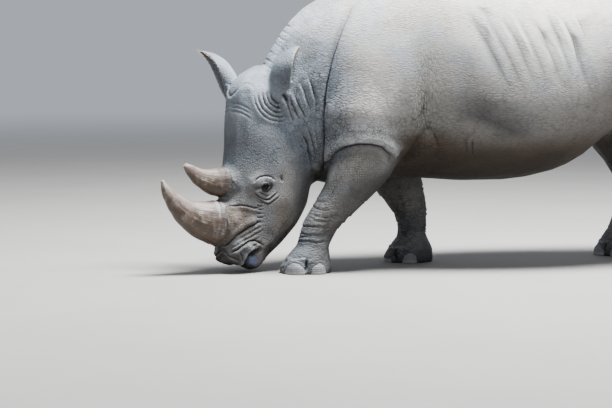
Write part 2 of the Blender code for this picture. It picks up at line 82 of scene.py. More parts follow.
@dataclass(frozen=True)
class HeadFrame:
    """The head's own directions: how it hangs from the poll, and its length."""

    poll: Vector = field(default_factory=lambda: Vector((-1.1769, -0.0104, 1.13)))
    length: float = 1.10
    lean: float = 7
    turn: float = 16
    roll: float = 4

    def axes(self) -> tuple[Vector, Vector, Vector]:
        """Directions down the head, forward from it, and to its left."""
        lean, turn = math.radians(self.lean), Euler((0, 0, math.radians(self.turn))).to_matrix()
        down = turn @ Vector((-math.sin(lean), 0, -math.cos(lean)))
        forward = turn @ Vector((-math.cos(lean), 0, math.sin(lean)))
        roll = Matrix.Rotation(math.radians(self.roll), 3, forward)
        return roll @ down, forward, roll @ forward.cross(down)

    def place(self, share: float, forward: float, left: float) -> Vector:
        """World point at a share of the head's length, so far forward and to the left.

        Args:
            share: Share of the length down from the poll.
            forward: Metres forward of the head's middle line.
            left: Metres to the left of it.

        Returns:
            The point in the row's frame.
        """
        down, ahead, side = self.axes()
        return self.poll + down * (share * self.length) + ahead * forward + side * left

    def places_of(self, points: np.ndarray) -> np.ndarray:
        """Head places (share, forward, left) of world points, one row each."""
        down, ahead, side = (np.array(axis) for axis in self.axes())
        away = points - np.array(self.poll)
        return np.stack([away @ down / self.length, away @ ahead, away @ side], axis=1)


HEAD = HeadFrame()


def spline(rows: Sequence[Sequence[float]], steps: int) -> np.ndarray:
    """Smooth curve through rows of numbers.

    Args:
        rows: The rows to pass through, at least two.
        steps: Points from each row to the next.

    Returns:
        The curve's rows, the last one included.
    """
    rows = np.asarray(rows, float)
    padded = np.vstack([2 * rows[0] - rows[1], rows, 2 * rows[-1] - rows[-2]])
    made = []
    for a, b, c, d in zip(padded, padded[1:], padded[2:], padded[3:]):
        for t in np.arange(steps) / steps:
            made.append(0.5 * (2 * b + (c - a) * t + (2 * a - 5 * b + 4 * c - d) * t**2
                               + (3 * b - a - 3 * c + d) * t**3))
    return np.array(made + [rows[-1]])


def smooth(values: np.ndarray, low: float, high: float) -> np.ndarray:
    """Values eased from 0 at low to 1 at high, which may be the smaller."""
    t = np.clip((values - low) / (high - low), 0, 1)
    return t * t * (3 - 2 * t)


def spot(*terms: tuple[np.ndarray, float, float]) -> np.ndarray:
    """1 where each term's values are at its middle, falling off over its size."""
    return np.exp(-sum(((values - middle) / size) ** 2 for values, middle, size in terms))


def to_length(ways: np.ndarray, lengths: np.ndarray | float) -> np.ndarray:
    """Directions made this long, one row each."""
    return ways * (lengths / np.linalg.norm(ways, axis=1))[:, None]


def within(points: np.ndarray, low: np.ndarray, high: np.ndarray) -> np.ndarray:
    """Numbers of the points inside a box."""
    return np.nonzero(((points > low) & (points < high)).all(axis=1))[0]


def search_tree(points: np.ndarray) -> KDTree:
    """Tree that finds the nearest of these points."""
    tree = KDTree(len(points))
    for i, point in enumerate(points):
        tree.insert(point, i)
    tree.balance()
    return tree


def middle_of(box: Sequence[Point]) -> np.ndarray:
    """Middle of a box, given by its lowest and highest corners."""
    low, high = box
    return (np.array(low) + np.array(high)) / 2


def noise(points: np.ndarray, size: float, seed: int) -> np.ndarray:
    """Smooth noise from -1 to 1 at points, with lumps of about this size."""
    at = points / size + seed * 17.31
    cell = np.floor(at).astype(np.int64)
    t = at - cell
    t = t * t * (3 - 2 * t)
    total = np.zeros(len(points))
    for corner in range(8):
        step = np.array([(corner >> k) & 1 for k in range(3)])
        n = (cell + step) @ np.array([73856093, 19349663, 83492791])
        n = ((n ^ (n >> 13)) * 1274126177) & 0x7FFFFFFF
        n = ((n ^ (n >> 16)) * 668265263) & 0x7FFFFFFF
        weight = np.prod(np.where(step == 1, t, 1 - t), axis=1)
        total += weight * ((n >> 8) % 65536 / 32768 - 1)
    return total


def points_of(mesh: bpy.types.Mesh) -> np.ndarray:
    """The mesh's vertex places, one row each."""
    flat = np.empty(len(mesh.vertices) * 3)
    mesh.vertices.foreach_get("co", flat)
    return flat.reshape(-1, 3)


def normals_of(mesh: bpy.types.Mesh) -> np.ndarray:
    """The mesh's vertex normals, one row each."""
    flat = np.empty(len(mesh.vertices) * 3, np.float32)
    mesh.vertex_normals.foreach_get("vector", flat)
    return flat.reshape(-1, 3).astype(float)


def set_points(mesh: bpy.types.Mesh, points: np.ndarray) -> None:
    """Moves the mesh's vertices to these places."""
    mesh.vertices.foreach_set("co", points.astype(np.float32).ravel())
    mesh.update()


def mark(mesh: bpy.types.Mesh, name: str, values: np.ndarray) -> None:
    """Keeps one number per vertex as an attribute that a finish can read."""
    kept = mesh.attributes.get(name) or mesh.attributes.new(name, "FLOAT", "POINT")
    kept.data.foreach_set("value", values.astype(np.float32))


def mark_ways(mesh: bpy.types.Mesh, name: str, ways: np.ndarray) -> None:
    """Keeps one direction or place per vertex as an attribute."""
    kept = mesh.attributes.new(name, "FLOAT_VECTOR", "POINT")
    kept.data.foreach_set("vector", ways.astype(np.float32).ravel())


def reach_of(points: np.ndarray, obj: bpy.types.Object) -> np.ndarray:
    """How far each point stands off an object's surface: less than 0 inside it."""
    shape = bmesh.new()
    shape.from_mesh(obj.data)
    tree = BVHTree.FromBMesh(shape)
    shape.free()
    found = np.empty(len(points))
    for i, point in enumerate(points):
        place, normal, _, gap = tree.find_nearest(point)
        found[i] = math.copysign(gap, (Vector(point) - place).dot(normal))
    return found


def linked(name: str, data: bpy.types.ID) -> bpy.types.Object:
    """Object in the scene that holds a mesh, light or camera."""
    obj = bpy.data.objects.new(name, data)
    bpy.context.scene.collection.objects.link(obj)
    return obj


def new_object(name: str, vertices: np.ndarray, faces: Iterable) -> bpy.types.Object:
    """Object in the scene with a mesh of these vertices and faces."""
    mesh = bpy.data.meshes.new(name)
    mesh.from_pydata([tuple(v) for v in vertices], [], [tuple(f) for f in faces])
    mesh.validate()
    return linked(name, mesh)


def tube(rings: np.ndarray, name: str) -> bpy.types.Object:
    """Closed object through rings of equally many points.

    Args:
        rings: Array of rings, points and coordinates.
        name: The object's name.

    Returns:
        The object, with a cap at each end and its faces outwards.
    """
    count, sides = rings.shape[:2]
    around, after = np.arange(sides), (np.arange(sides) + 1) % sides
    faces = []
    for k in range(count - 1):
        low, high = k * sides, (k + 1) * sides
        faces += [(low + a, low + b, high + b, high + a) for a, b in zip(around, after)]
    faces += [tuple(around), tuple(around + (count - 1) * sides)]
    return faced_out(new_object(name, rings.reshape(-1, 3), faces))


def faced_out(obj: bpy.types.Object) -> bpy.types.Object:
    """The object with its faces turned outwards and its corners merged."""
    shape = bmesh.new()
    shape.from_mesh(obj.data)
    bmesh.ops.remove_doubles(shape, verts=shape.verts, dist=0.00001)
    bmesh.ops.recalc_face_normals(shape, faces=shape.faces)
    shape.to_mesh(obj.data)
    shape.free()
    return obj


def copy_of(node: str) -> bpy.types.Object:
    """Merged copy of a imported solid."""
    return faced_out(linked(node + "_copy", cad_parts[node].data.copy()))


def joined(objects: Sequence[bpy.types.Object], name: str) -> bpy.types.Object:
    """One object with the meshes of all of these, which are removed."""
    shape = bmesh.new()
    for obj in objects:
        shape.from_mesh(obj.data)
        bpy.data.objects.remove(obj)
    mesh = bpy.data.meshes.new(name)
    shape.to_mesh(mesh)
    shape.free()
    return linked(name, mesh)


def settled(obj: bpy.types.Object, modifier: bpy.types.Modifier) -> bpy.types.Object:
    """The object with this modifier's result as its own mesh."""
    graph = bpy.context.evaluated_depsgraph_get()
    mesh = bpy.data.meshes.new_from_object(obj.evaluated_get(graph))
    obj.modifiers.remove(modifier)
    obj.data = mesh
    return obj


def applied(obj: bpy.types.Object, kind: str, **settings: object) -> bpy.types.Object:
    """The object with one modifier applied to its mesh."""
    modifier = obj.modifiers.new(kind.title(), kind)
    for key, value in settings.items():
        setattr(modifier, key, value)
    return settled(obj, modifier)


def weighted(obj: bpy.types.Object, kind: str, weights: np.ndarray, levels: int,
             **settings: object) -> bpy.types.Object:
    """The object with one modifier applied by weights from 0 to 1, in so many levels."""
    group = obj.vertex_groups.new(name="weights")
    level = np.round(np.clip(weights, 0, 1) * levels).astype(int)
    for step in range(1, levels + 1):
        chosen = np.nonzero(level == step)[0]
        if len(chosen):
            group.add(chosen.tolist(), step / levels, "REPLACE")
    applied(obj, kind, vertex_group="weights", **settings)
    obj.vertex_groups.clear()
    return obj


def relaxed(obj: bpy.types.Object, passes: int, weights: np.ndarray) -> bpy.types.Object:
    """The object smoothed, more where its weights are nearer 1."""
    return weighted(obj, "SMOOTH", weights, 16, factor=0.5, iterations=passes)


def dressed(obj: bpy.types.Object, finish: bpy.types.Material) -> bpy.types.Object:
    """The object with one finish, shaded smooth, riding with the animal."""
    obj.data.materials.clear()
    obj.data.materials.append(finish)
    obj.data.shade_smooth()
    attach(obj, ROOT)
    log.info("%s: %d faces", obj.name, len(obj.data.polygons))
    return obj


# ---------------------------------------------------------------- node expressions


def by_math(operation: str, swapped: bool = False) -> Callable:
    """Operator between a value and a number or value, which adds one Math node."""
    def made(first: "Value", second: object) -> "Value":
        """The node's result."""
        terms = (second, first) if swapped else (first, second)
        return first.arithmetic(operation, *terms)
    return made


class Value:
    """A number or colour at a socket, with arithmetic that adds Math nodes."""

    def __init__(self, tree: "Tree", socket: bpy.types.NodeSocket) -> None:
        """Wraps one output socket of a tree."""
        self.tree = tree
        self.socket = socket

    def arithmetic(self, operation: str, *terms: object) -> "Value":
        """Math node on these terms."""
        return self.tree.node("ShaderNodeMath", {"operation": operation},
                              dict(enumerate(terms)))

    __add__ = __radd__ = by_math("ADD")
    __mul__ = __rmul__ = by_math("MULTIPLY")
    __sub__ = by_math("SUBTRACT")
    __rsub__ = by_math("SUBTRACT", swapped=True)

    def sine(self) -> "Value":
        """Sine of this value."""
        return self.arithmetic("SINE", self)

    def eased(self, low: float, high: float, start: float = 0, end: float = 1) -> "Value":
        """This value eased from start at low to end at high."""
        return self.tree.node("ShaderNodeMapRange", {"interpolation_type": "SMOOTHSTEP"},
                              {0: self, 1: low, 2: high, 3: start, 4: end})


class Tree:
    """A node tree that grows by one node at a time."""

    def __init__(self, tree: bpy.types.NodeTree) -> None:
        """Takes the tree to fill."""
        self.nodes = tree.nodes
        self.links = tree.links

    def node(self, kind: str, settings: dict, sockets: dict, output: object = 0) -> Value:
        """Any node.

        Args:
            kind: The node's type.
            settings: Its settings by name.
            sockets: Values or links by input socket name or number.
            output: The output socket wanted.

        Returns:
            That output.
        """
        made = self.nodes.new(kind)
        for key, value in settings.items():
            setattr(made, key, value)
        for key, value in sockets.items():
            if isinstance(value, Value):
                self.links.new(value.socket, made.inputs[key])
            else:
                made.inputs[key].default_value = value
        return Value(self, made.outputs[output])


class Surface(Tree):
    """One material's nodes."""

    def __init__(self, name: str) -> None:
        """Empty material of this name."""
        self.material = bpy.data.materials.new(name)
        self.material.use_nodes = True
        super().__init__(self.material.node_tree)
        self.shader = self.nodes["Principled BSDF"]

    def attribute(self, name: str) -> Value:
        """A number kept at the vertices."""
        return self.node("ShaderNodeAttribute", {"attribute_name": name}, {}, "Fac")

    def place(self) -> Value:
        """Coordinates of the object."""
        return self.node("ShaderNodeTexCoord", {}, {}, "Object")

    def stretched(self, at: Value, scale: Point) -> Value:
        """Coordinates scaled along each axis."""
        return self.node("ShaderNodeMapping", {}, {"Vector": at, "Scale": scale})

    def shaken(self, at: Value, size: float, reach: float) -> Value:
        """Coordinates moved about by noise."""
        wobble = self.node("ShaderNodeTexNoise", {}, {"Vector": at, "Scale": 1 / size,
                                                      "Detail": 2.0}, "Color")
        centred = self.node("ShaderNodeVectorMath", {"operation": "SUBTRACT"},
                            {0: wobble, 1: (0.5, 0.5, 0.5)})
        scaled = self.node("ShaderNodeVectorMath", {"operation": "SCALE"},
                           {0: centred, "Scale": reach})
        return self.node("ShaderNodeVectorMath", {"operation": "ADD"}, {0: at, 1: scaled})

    def clouds(self, at: Value, size: float, detail: float = 4, rough: float = 0.55) -> Value:
        """Noise from 0 to 1 with lumps of about this size."""
        return self.node("ShaderNodeTexNoise", {}, {
            "Vector": at, "Scale": 1 / size, "Detail": detail, "Roughness": rough}, "Fac")

    def cracks(self, at: Value, size: float, width: float, chance: float = 1) -> Value:
        """1 on plates of about this size, falling to 0 in the cracks between them."""
        edge = self.node("ShaderNodeTexVoronoi", {"feature": "DISTANCE_TO_EDGE"},
                         {"Vector": at, "Scale": 1 / size, "Randomness": chance}, "Distance")
        return edge.eased(0, width)

    def between(self, share: Value, first: Value, second: Value) -> Value:
        """Number from first to second."""
        return first + (second - first) * share

    def mix(self, share: object, first: object, second: object) -> Value:
        """Colour from first to second."""
        colours = [c if isinstance(c, Value) else (*c, 1) for c in (first, second)]
        return self.node("ShaderNodeMix", {"data_type": "RGBA"},
                         {0: share, 6: colours[0], 7: colours[1]}, 2)

    def shaded(self, colour: Value, share: Value) -> Value:
        """Colour multiplied by a number."""
        return self.node("ShaderNodeVectorMath", {"operation": "SCALE"},
                         {0: colour, "Scale": share})

    def bump(self, height: Value, depth: float, under: object = None) -> Value:
        """Normal bent by a height of 0 to 1 that stands so deep in metres."""
        sockets = {"Height": height, "Distance": depth, "Strength": 1.0}
        if under is not None:
            sockets["Normal"] = under
        return self.node("ShaderNodeBump", {}, sockets, "Normal")

    def finish(self, **inputs: object) -> bpy.types.Material:
        """Feeds the surface's sockets, named with underscores, and gives the material."""
        for key, value in inputs.items():
            socket = self.shader.inputs[key.replace("_", " ")]
            if isinstance(value, Value):
                self.links.new(value.socket, socket)
            else:
                socket.default_value = value
        return self.material


# ---------------------------------------------------------------- working the hide


@dataclass(frozen=True)
class Fold:
    """A crease in the hide with a roll of skin beside it.

    The line's points are on the left side: world points, or head places. The groove has
    a depth and a width. The roll has a height and a breadth, lies on the side that
    `roll` points to, and leans over the crease by `over`. All of it fades in and out
    over a share of the line at each end. `dark` is painted shade in the groove, and
    `pale` a painted highlight on the roll.
    """

    line: tuple[Point, ...]
    depth: float
    width: float
    roll: Point = (0, 0, 1)
    height: float = 0
    breadth: float = 0.03
    over: float = 0
    side: Side = Side.BOTH
    on_head: bool = False
    fade: float = 0.2
    # Painted shade in the groove, and painted highlight on the roll.
    dark: float = 1
    pale: float = 0


@dataclass(frozen=True)
class Swell:
    """A rounded rise, or a hollow where its height is negative.

    Its place is on the left side, as a fold's is, and its size is a half size along
    each of the world's axes or the head's.
    """

    at: Point
    size: Point
    height: float
    side: Side = Side.BOTH
    on_head: bool = False


def side_points(points: Sequence[Point], sign: int, on_head: bool) -> np.ndarray:
    """World points on one side of the animal for points given on its left."""
    if on_head:
        return np.array([HEAD.place(share, forward, left * sign)
                         for share, forward, left in points])
    return np.array([(x, y * sign, z) for x, y, z in points])


def way_of(direction: Point, sign: int, on_head: bool) -> np.ndarray:
    """World direction on one side for a direction given on the left."""
    if not on_head:
        return np.array((direction[0], direction[1] * sign, direction[2]))
    down, ahead, left = HEAD.axes()
    return np.array(down * direction[0] + ahead * direction[1] + left * direction[2] * sign)


class Sculptor:
    """Moves the hide's vertices; keeps the painted shade of creases and highlight of rolls."""

    THINNING = 7  # Every so many vertices are enough to lay a line on the hide.
    STEPS = 14  # Points of a line from each of its places to the next.
    EASE = 9  # Points over which the line's height is evened out.
    BATCH = 20000  # Vertices measured against a line at a time.

    def __init__(self, obj: bpy.types.Object) -> None:
        """Takes the object that holds the hide."""
        self.obj = obj
        self.read()
        # Painted shade of the creases, seams, lids and mouth; painted highlight of the rolls.
        self.crease = np.zeros(len(self.points))
        self.pale = np.zeros(len(self.points))

    def read(self) -> None:
        """Reads the places and normals again."""
        self.points = points_of(self.obj.data)
        self.normals = normals_of(self.obj.data)

    def write(self) -> None:
        """Puts the moved places back, and reads the new normals."""
        set_points(self.obj.data, self.points)
        self.read()

    def fold(self, folds: Sequence[Fold]) -> None:
        """Works these folds into the hide."""
        kept = self.points[::self.THINNING].copy()
        tree = search_tree(kept)
        for item in folds:
            for sign in item.side.signs():
                line = spline(side_points(item.line, sign, item.on_head), self.STEPS)
                drop = np.array([kept[tree.find(row)[1]] - row for row in line])
                ease = np.ones(self.EASE) / self.EASE
                drop = np.stack([np.convolve(np.pad(d, self.EASE // 2, mode="edge"), ease,
                                             "valid") for d in drop.T], axis=1)
                self._work(item, line + drop, way_of(item.roll, sign, item.on_head))

    def _work(self, fold: Fold, line: np.ndarray, roll: np.ndarray) -> None:
        """Works one fold along a line that lies on the hide."""
        reach = 3 * fold.width + (3 * fold.breadth if fold.height else 0)
        low, high = line.min(axis=0) - reach, line.max(axis=0) + reach
        near = within(self.points, low, high)
        if not len(near):
            return
        at, out = self.points[near], self.normals[near]
        nearest = np.zeros(len(near), int)
        for start in range(0, len(near), self.BATCH):
            part = slice(start, start + self.BATCH)
            gaps = ((at[part, None] - line[None]) ** 2).sum(axis=2)
            nearest[part] = gaps.argmin(axis=1)
        run = np.gradient(line, axis=0)
        run /= np.linalg.norm(run, axis=1)[:, None]
        away = at - line[nearest]
        along = run[nearest]
        away -= along * (away * along).sum(axis=1)[:, None]
        away -= out * np.clip((away * out).sum(axis=1), -reach, reach)[:, None] * 0.8
        gap = np.linalg.norm(away, axis=1)
        side = np.sign(away @ roll)
        share = nearest / (len(line) - 1)
        taper = smooth(share, 0, fold.fade) * smooth(share, 1, 1 - fold.fade)
        groove = spot((gap, 0, fold.width))
        rise = np.zeros(len(near))
        if fold.height:
            middle = fold.width + 0.6 * fold.breadth
            rise = spot((side * gap, middle, fold.breadth)) * (gap < reach)
        move = out * ((fold.height * rise - fold.depth * groove) * taper)[:, None]
        if fold.over:
            lean = spot((side * gap, 1.2 * fold.width, 1.5 * fold.width))
            move -= roll * (fold.over * lean * taper)[:, None]
        self.points[near] += move
        # Painted shade in the groove, painted highlight on the roll.
        self.crease[near] = np.maximum(self.crease[near], groove * taper * fold.dark)
        self.pale[near] = np.maximum(self.pale[near], rise * taper * fold.pale)

    def swell(self, swells: Sequence[Swell]) -> None:
        """Raises or hollows the hide at each of these."""
        for item in swells:
            for sign in item.side.signs():
                centre = side_points((item.at,), sign, item.on_head)[0]
                axes = [np.array(axis) for axis in HEAD.axes()] if item.on_head else np.eye(3)
                away = self.points - centre
                share = sum(((away @ axis) / size) ** 2 for axis, size in zip(axes, item.size))
                near = share < 9
                self.points[near] += (self.normals[near]
                                      * (item.height * np.exp(-share[near]))[:, None])


@dataclass(frozen=True)
class EarShape:
    """One cupped ear: its root, tip and opening in head places, and its sections."""

    name: str
    root: Point
    tip: Point
    opening: Point
    bend: float = 0.02
    # Share of the length, radius, half angle of the shell, thickness.
    shell: tuple = ((0.00, 0.056, 165, 0.018), (0.20, 0.062, 148, 0.016),
                    (0.42, 0.072, 118, 0.014), (0.64, 0.073, 95, 0.013),
                    (0.82, 0.056, 80, 0.0125), (0.94, 0.030, 70, 0.012),
                    (1.00, 0.010, 60, 0.010))

    def directions(self) -> tuple[Vector, Vector, Vector, Vector]:
        """Root, tip, the way the ear opens, and across it."""
        start, end = HEAD.place(*self.root), HEAD.place(*self.tip)
        along = (end - start).normalized()
        face = Vector(way_of(self.opening, 1, True))
        face = (face - along * face.dot(along)).normalized()
        return start, end, face, along.cross(face)

    def solid(self) -> bpy.types.Object:
        """The ear as a closed shell with a rounded rim."""
        start, end, face, across = (np.array(v) for v in self.directions())
        rings = []
        for share, radius, half_angle, wall in spline(self.shell, 8)[:-1]:
            sweep = np.radians(np.linspace(-half_angle, half_angle, 25))
            middle = start + (end - start) * share
            middle = middle - face * (self.bend * math.sin(math.pi * share))
            inner = max(radius - wall, 0.3 * radius)
            outer_ring = [middle - face * (radius * math.cos(a)) + across * (radius * math.sin(a))
                          for a in sweep]
            inner_ring = [middle - face * (inner * math.cos(a)) + across * (inner * math.sin(a))
                          for a in reversed(sweep)]
            rings.append(outer_ring + inner_ring)
        return tube(np.array(rings), self.name + "_shell")

    def nearness(self, points: np.ndarray) -> np.ndarray:
        """How far along the free part of the ear points lie: 0 away from it, 1 on it."""
        start, end = (np.array(v) for v in self.directions()[:2])
        length = np.linalg.norm(end - start)
        along = (end - start) / length
        away = points - start
        share = away @ along / length
        gap = np.linalg.norm(away - np.outer(away @ along, along), axis=1)
        return smooth(share, 0.12, 0.42) * smooth(gap, 0.125, 0.095) * (share < 1.25)


EARS = (
    EarShape("ear_left", (0.150, -0.045, 0.140), (-0.112, -0.115, 0.235), (0.25, -0.95, 0.15)),
    EarShape("ear_right", (0.175, 0.050, -0.120), (-0.075, 0.275, -0.225), (0.80, 0.55, -0.10)),
)
FLESH = ("head", "lower_lip", "neck", "trunk", "tail", "ear_left", "ear_right",
         *(f"{leg}_{part}" for leg in LEGS for part in ("leg", "foot")))


def rib_folds() -> tuple[Fold, ...]:
    """Soft hollows between the ribs, which lean back as they go down."""
    made = []
    for k in range(7):
        x = 0.02 + 0.084 * k
        line = tuple((x + (1.30 - z) * (0.47 - 0.03 * k), y, z) for y, z in (
            (-0.33, 1.53), (-0.385, 1.45), (-0.425, 1.38), (-0.470, 1.27), (-0.502, 1.15),
            (-0.518, 1.05), (-0.522, 0.97)))
        made.append(Fold(line, 0.0135, 0.025, (1, 0, 0), 0.009, 0.025, fade=0.40, dark=0.72,
                         pale=0.5))
    return tuple(made)


def nape_folds() -> tuple[Fold, ...]:
    """Cross wrinkles over the top of the neck behind the ears."""
    made = []
    rng = np.random.default_rng(12)
    for k in range(8):
        x, z = -1.155 + 0.022 * k, 1.10 + 0.038 * k + rng.uniform(-0.007, 0.007)
        near, far = rng.uniform(0.08, 0.17, 2)
        line = ((x + 0.22 * near, -near, z - 0.045 * near / 0.15),
                (x, -0.5 * near, z - 0.006), (x - 0.012, 0, z + rng.uniform(0.008, 0.022)),
                (x, 0.5 * far, z - 0.006), (x + 0.22 * far, far, z - 0.045 * far / 0.15))
        made.append(Fold(line, rng.uniform(0.002, 0.0055), 0.006, side=Side.LEFT, fade=0.35,
                         dark=0.5))
    return tuple(made)


def neck_folds() -> tuple[Fold, ...]:
    """Slanting wrinkles that run down from the ear between the cheek and the neck crease."""
    lines = (
        ((-1.080, -0.212, 1.00), (-1.056, -0.214, 0.925), (-1.034, -0.20, 0.865),
         (-1.020, -0.186, 0.825)),
        ((-1.057, -0.216, 1.01), (-1.031, -0.222, 0.94), (-1.007, -0.216, 0.887),
         (-0.985, -0.205, 0.84)),
        ((-1.032, -0.223, 1.02), (-1.002, -0.228, 0.94), (-0.974, -0.222, 0.887),
         (-0.950, -0.216, 0.84)),
        ((-1.005, -0.230, 1.08), (-0.967, -0.240, 1.00), (-0.948, -0.242, 0.94),
         (-0.935, -0.235, 0.88)),
        ((-0.955, -0.243, 1.11), (-0.924, -0.253, 1.02), (-0.909, -0.255, 0.95),
         (-0.899, -0.244, 0.87)),
        ((-0.982, -0.178, 0.80), (-0.944, -0.147, 0.734), (-0.922, -0.129, 0.673),
         (-0.915, -0.124, 0.61)),
        ((-0.960, -0.211, 0.835), (-0.917, -0.181, 0.75), (-0.891, -0.154, 0.675),
         (-0.873, -0.130, 0.60)),
        ((-0.919, -0.232, 0.857), (-0.890, -0.210, 0.767), (-0.867, -0.181, 0.675),
         (-0.853, -0.143, 0.59)),
    )
    made = []
    for k, line in enumerate(lines):
        made.append(Fold(line, 0.007, 0.0065, (-1, 0, 0), 0.003, 0.012, fade=0.3, dark=0.8,
                         pale=0.2))
        beside = tuple((x + 0.013, y - 0.003, z - 0.03 * (k % 3)) for x, y, z in line)
        made.append(Fold(beside, 0.004, 0.0045, fade=0.4, dark=0.55))
    made.append(Fold(((-1.086, -0.210, 1.01), (-1.075, -0.212, 0.975), (-1.060, -0.213, 0.935)),
                     0.014, 0.012, (1, 0, 0), 0.006, 0.016, fade=0.35))
    return tuple(made)


def toe_folds() -> tuple[Fold, ...]:
    """Clefts between the toes, and the soft rim over the nails."""
    made = []
    for leg in LEGS:
        middle = middle_of(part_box(f"{leg}_foot"))
        toes = {toe: middle_of(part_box(f"{leg}_nail_{toe}")) for toe in TOES}
        for toe in ("inner", "outer"):
            way = (toes["front"] + toes[toe]) / 2 - middle
            way /= np.hypot(way[0], way[1])
            line = tuple((middle[0] + way[0] * reach, middle[1] + way[1] * reach, z)
                         for reach, z in ((0.135, 0.100), (0.150, 0.075), (0.155, 0.045),
                                          (0.155, 0.010)))
            made.append(Fold(line, 0.015, 0.008, side=Side.LEFT, fade=0.2))
        rim = [toes[toe] + (0, 0, 0.088 - toes[toe][2]) for toe in ("inner", "front", "outer")]
        line = tuple(tuple(point) for point in spline(rim, 4))
        made.append(Fold(line, 0.003, 0.005, (0, 0, -1), 0.003, 0.009, side=Side.LEFT,
                         fade=0.25, dark=0.2, pale=0.45))
    return tuple(made)


def shin_folds(points: np.ndarray) -> tuple[Fold, ...]:
    """Wrinkles lying across the lower legs, round the hide that these points lie on."""
    made = []
    rng = np.random.default_rng(31)
    for leg in LEGS:
        middle = middle_of(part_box(f"{leg}_foot"))
        for level in np.arange(0.165, 0.45, 0.019):
            gap = np.hypot(points[:, 0] - middle[0], points[:, 1] - middle[1])
            near = points[(np.abs(points[:, 2] - level) < 0.012) & (gap < 0.15)]
            middle = (near.min(axis=0) + near.max(axis=0)) / 2
            start, sweep = rng.uniform(0, 360), rng.uniform(150, 320)
            line = tuple((middle[0] + 0.10 * math.cos(math.radians(start + sweep * share)),
                          middle[1] + 0.10 * math.sin(math.radians(start + sweep * share)),
                          level + rng.uniform(-0.005, 0.005))
                         for share in np.linspace(0, 1, 7))
            made.append(Fold(line, 0.0045, 0.0050, (0, 0, 1), 0.002, 0.008, side=Side.LEFT,
                             fade=0.35, dark=0.65))
    return tuple(made)


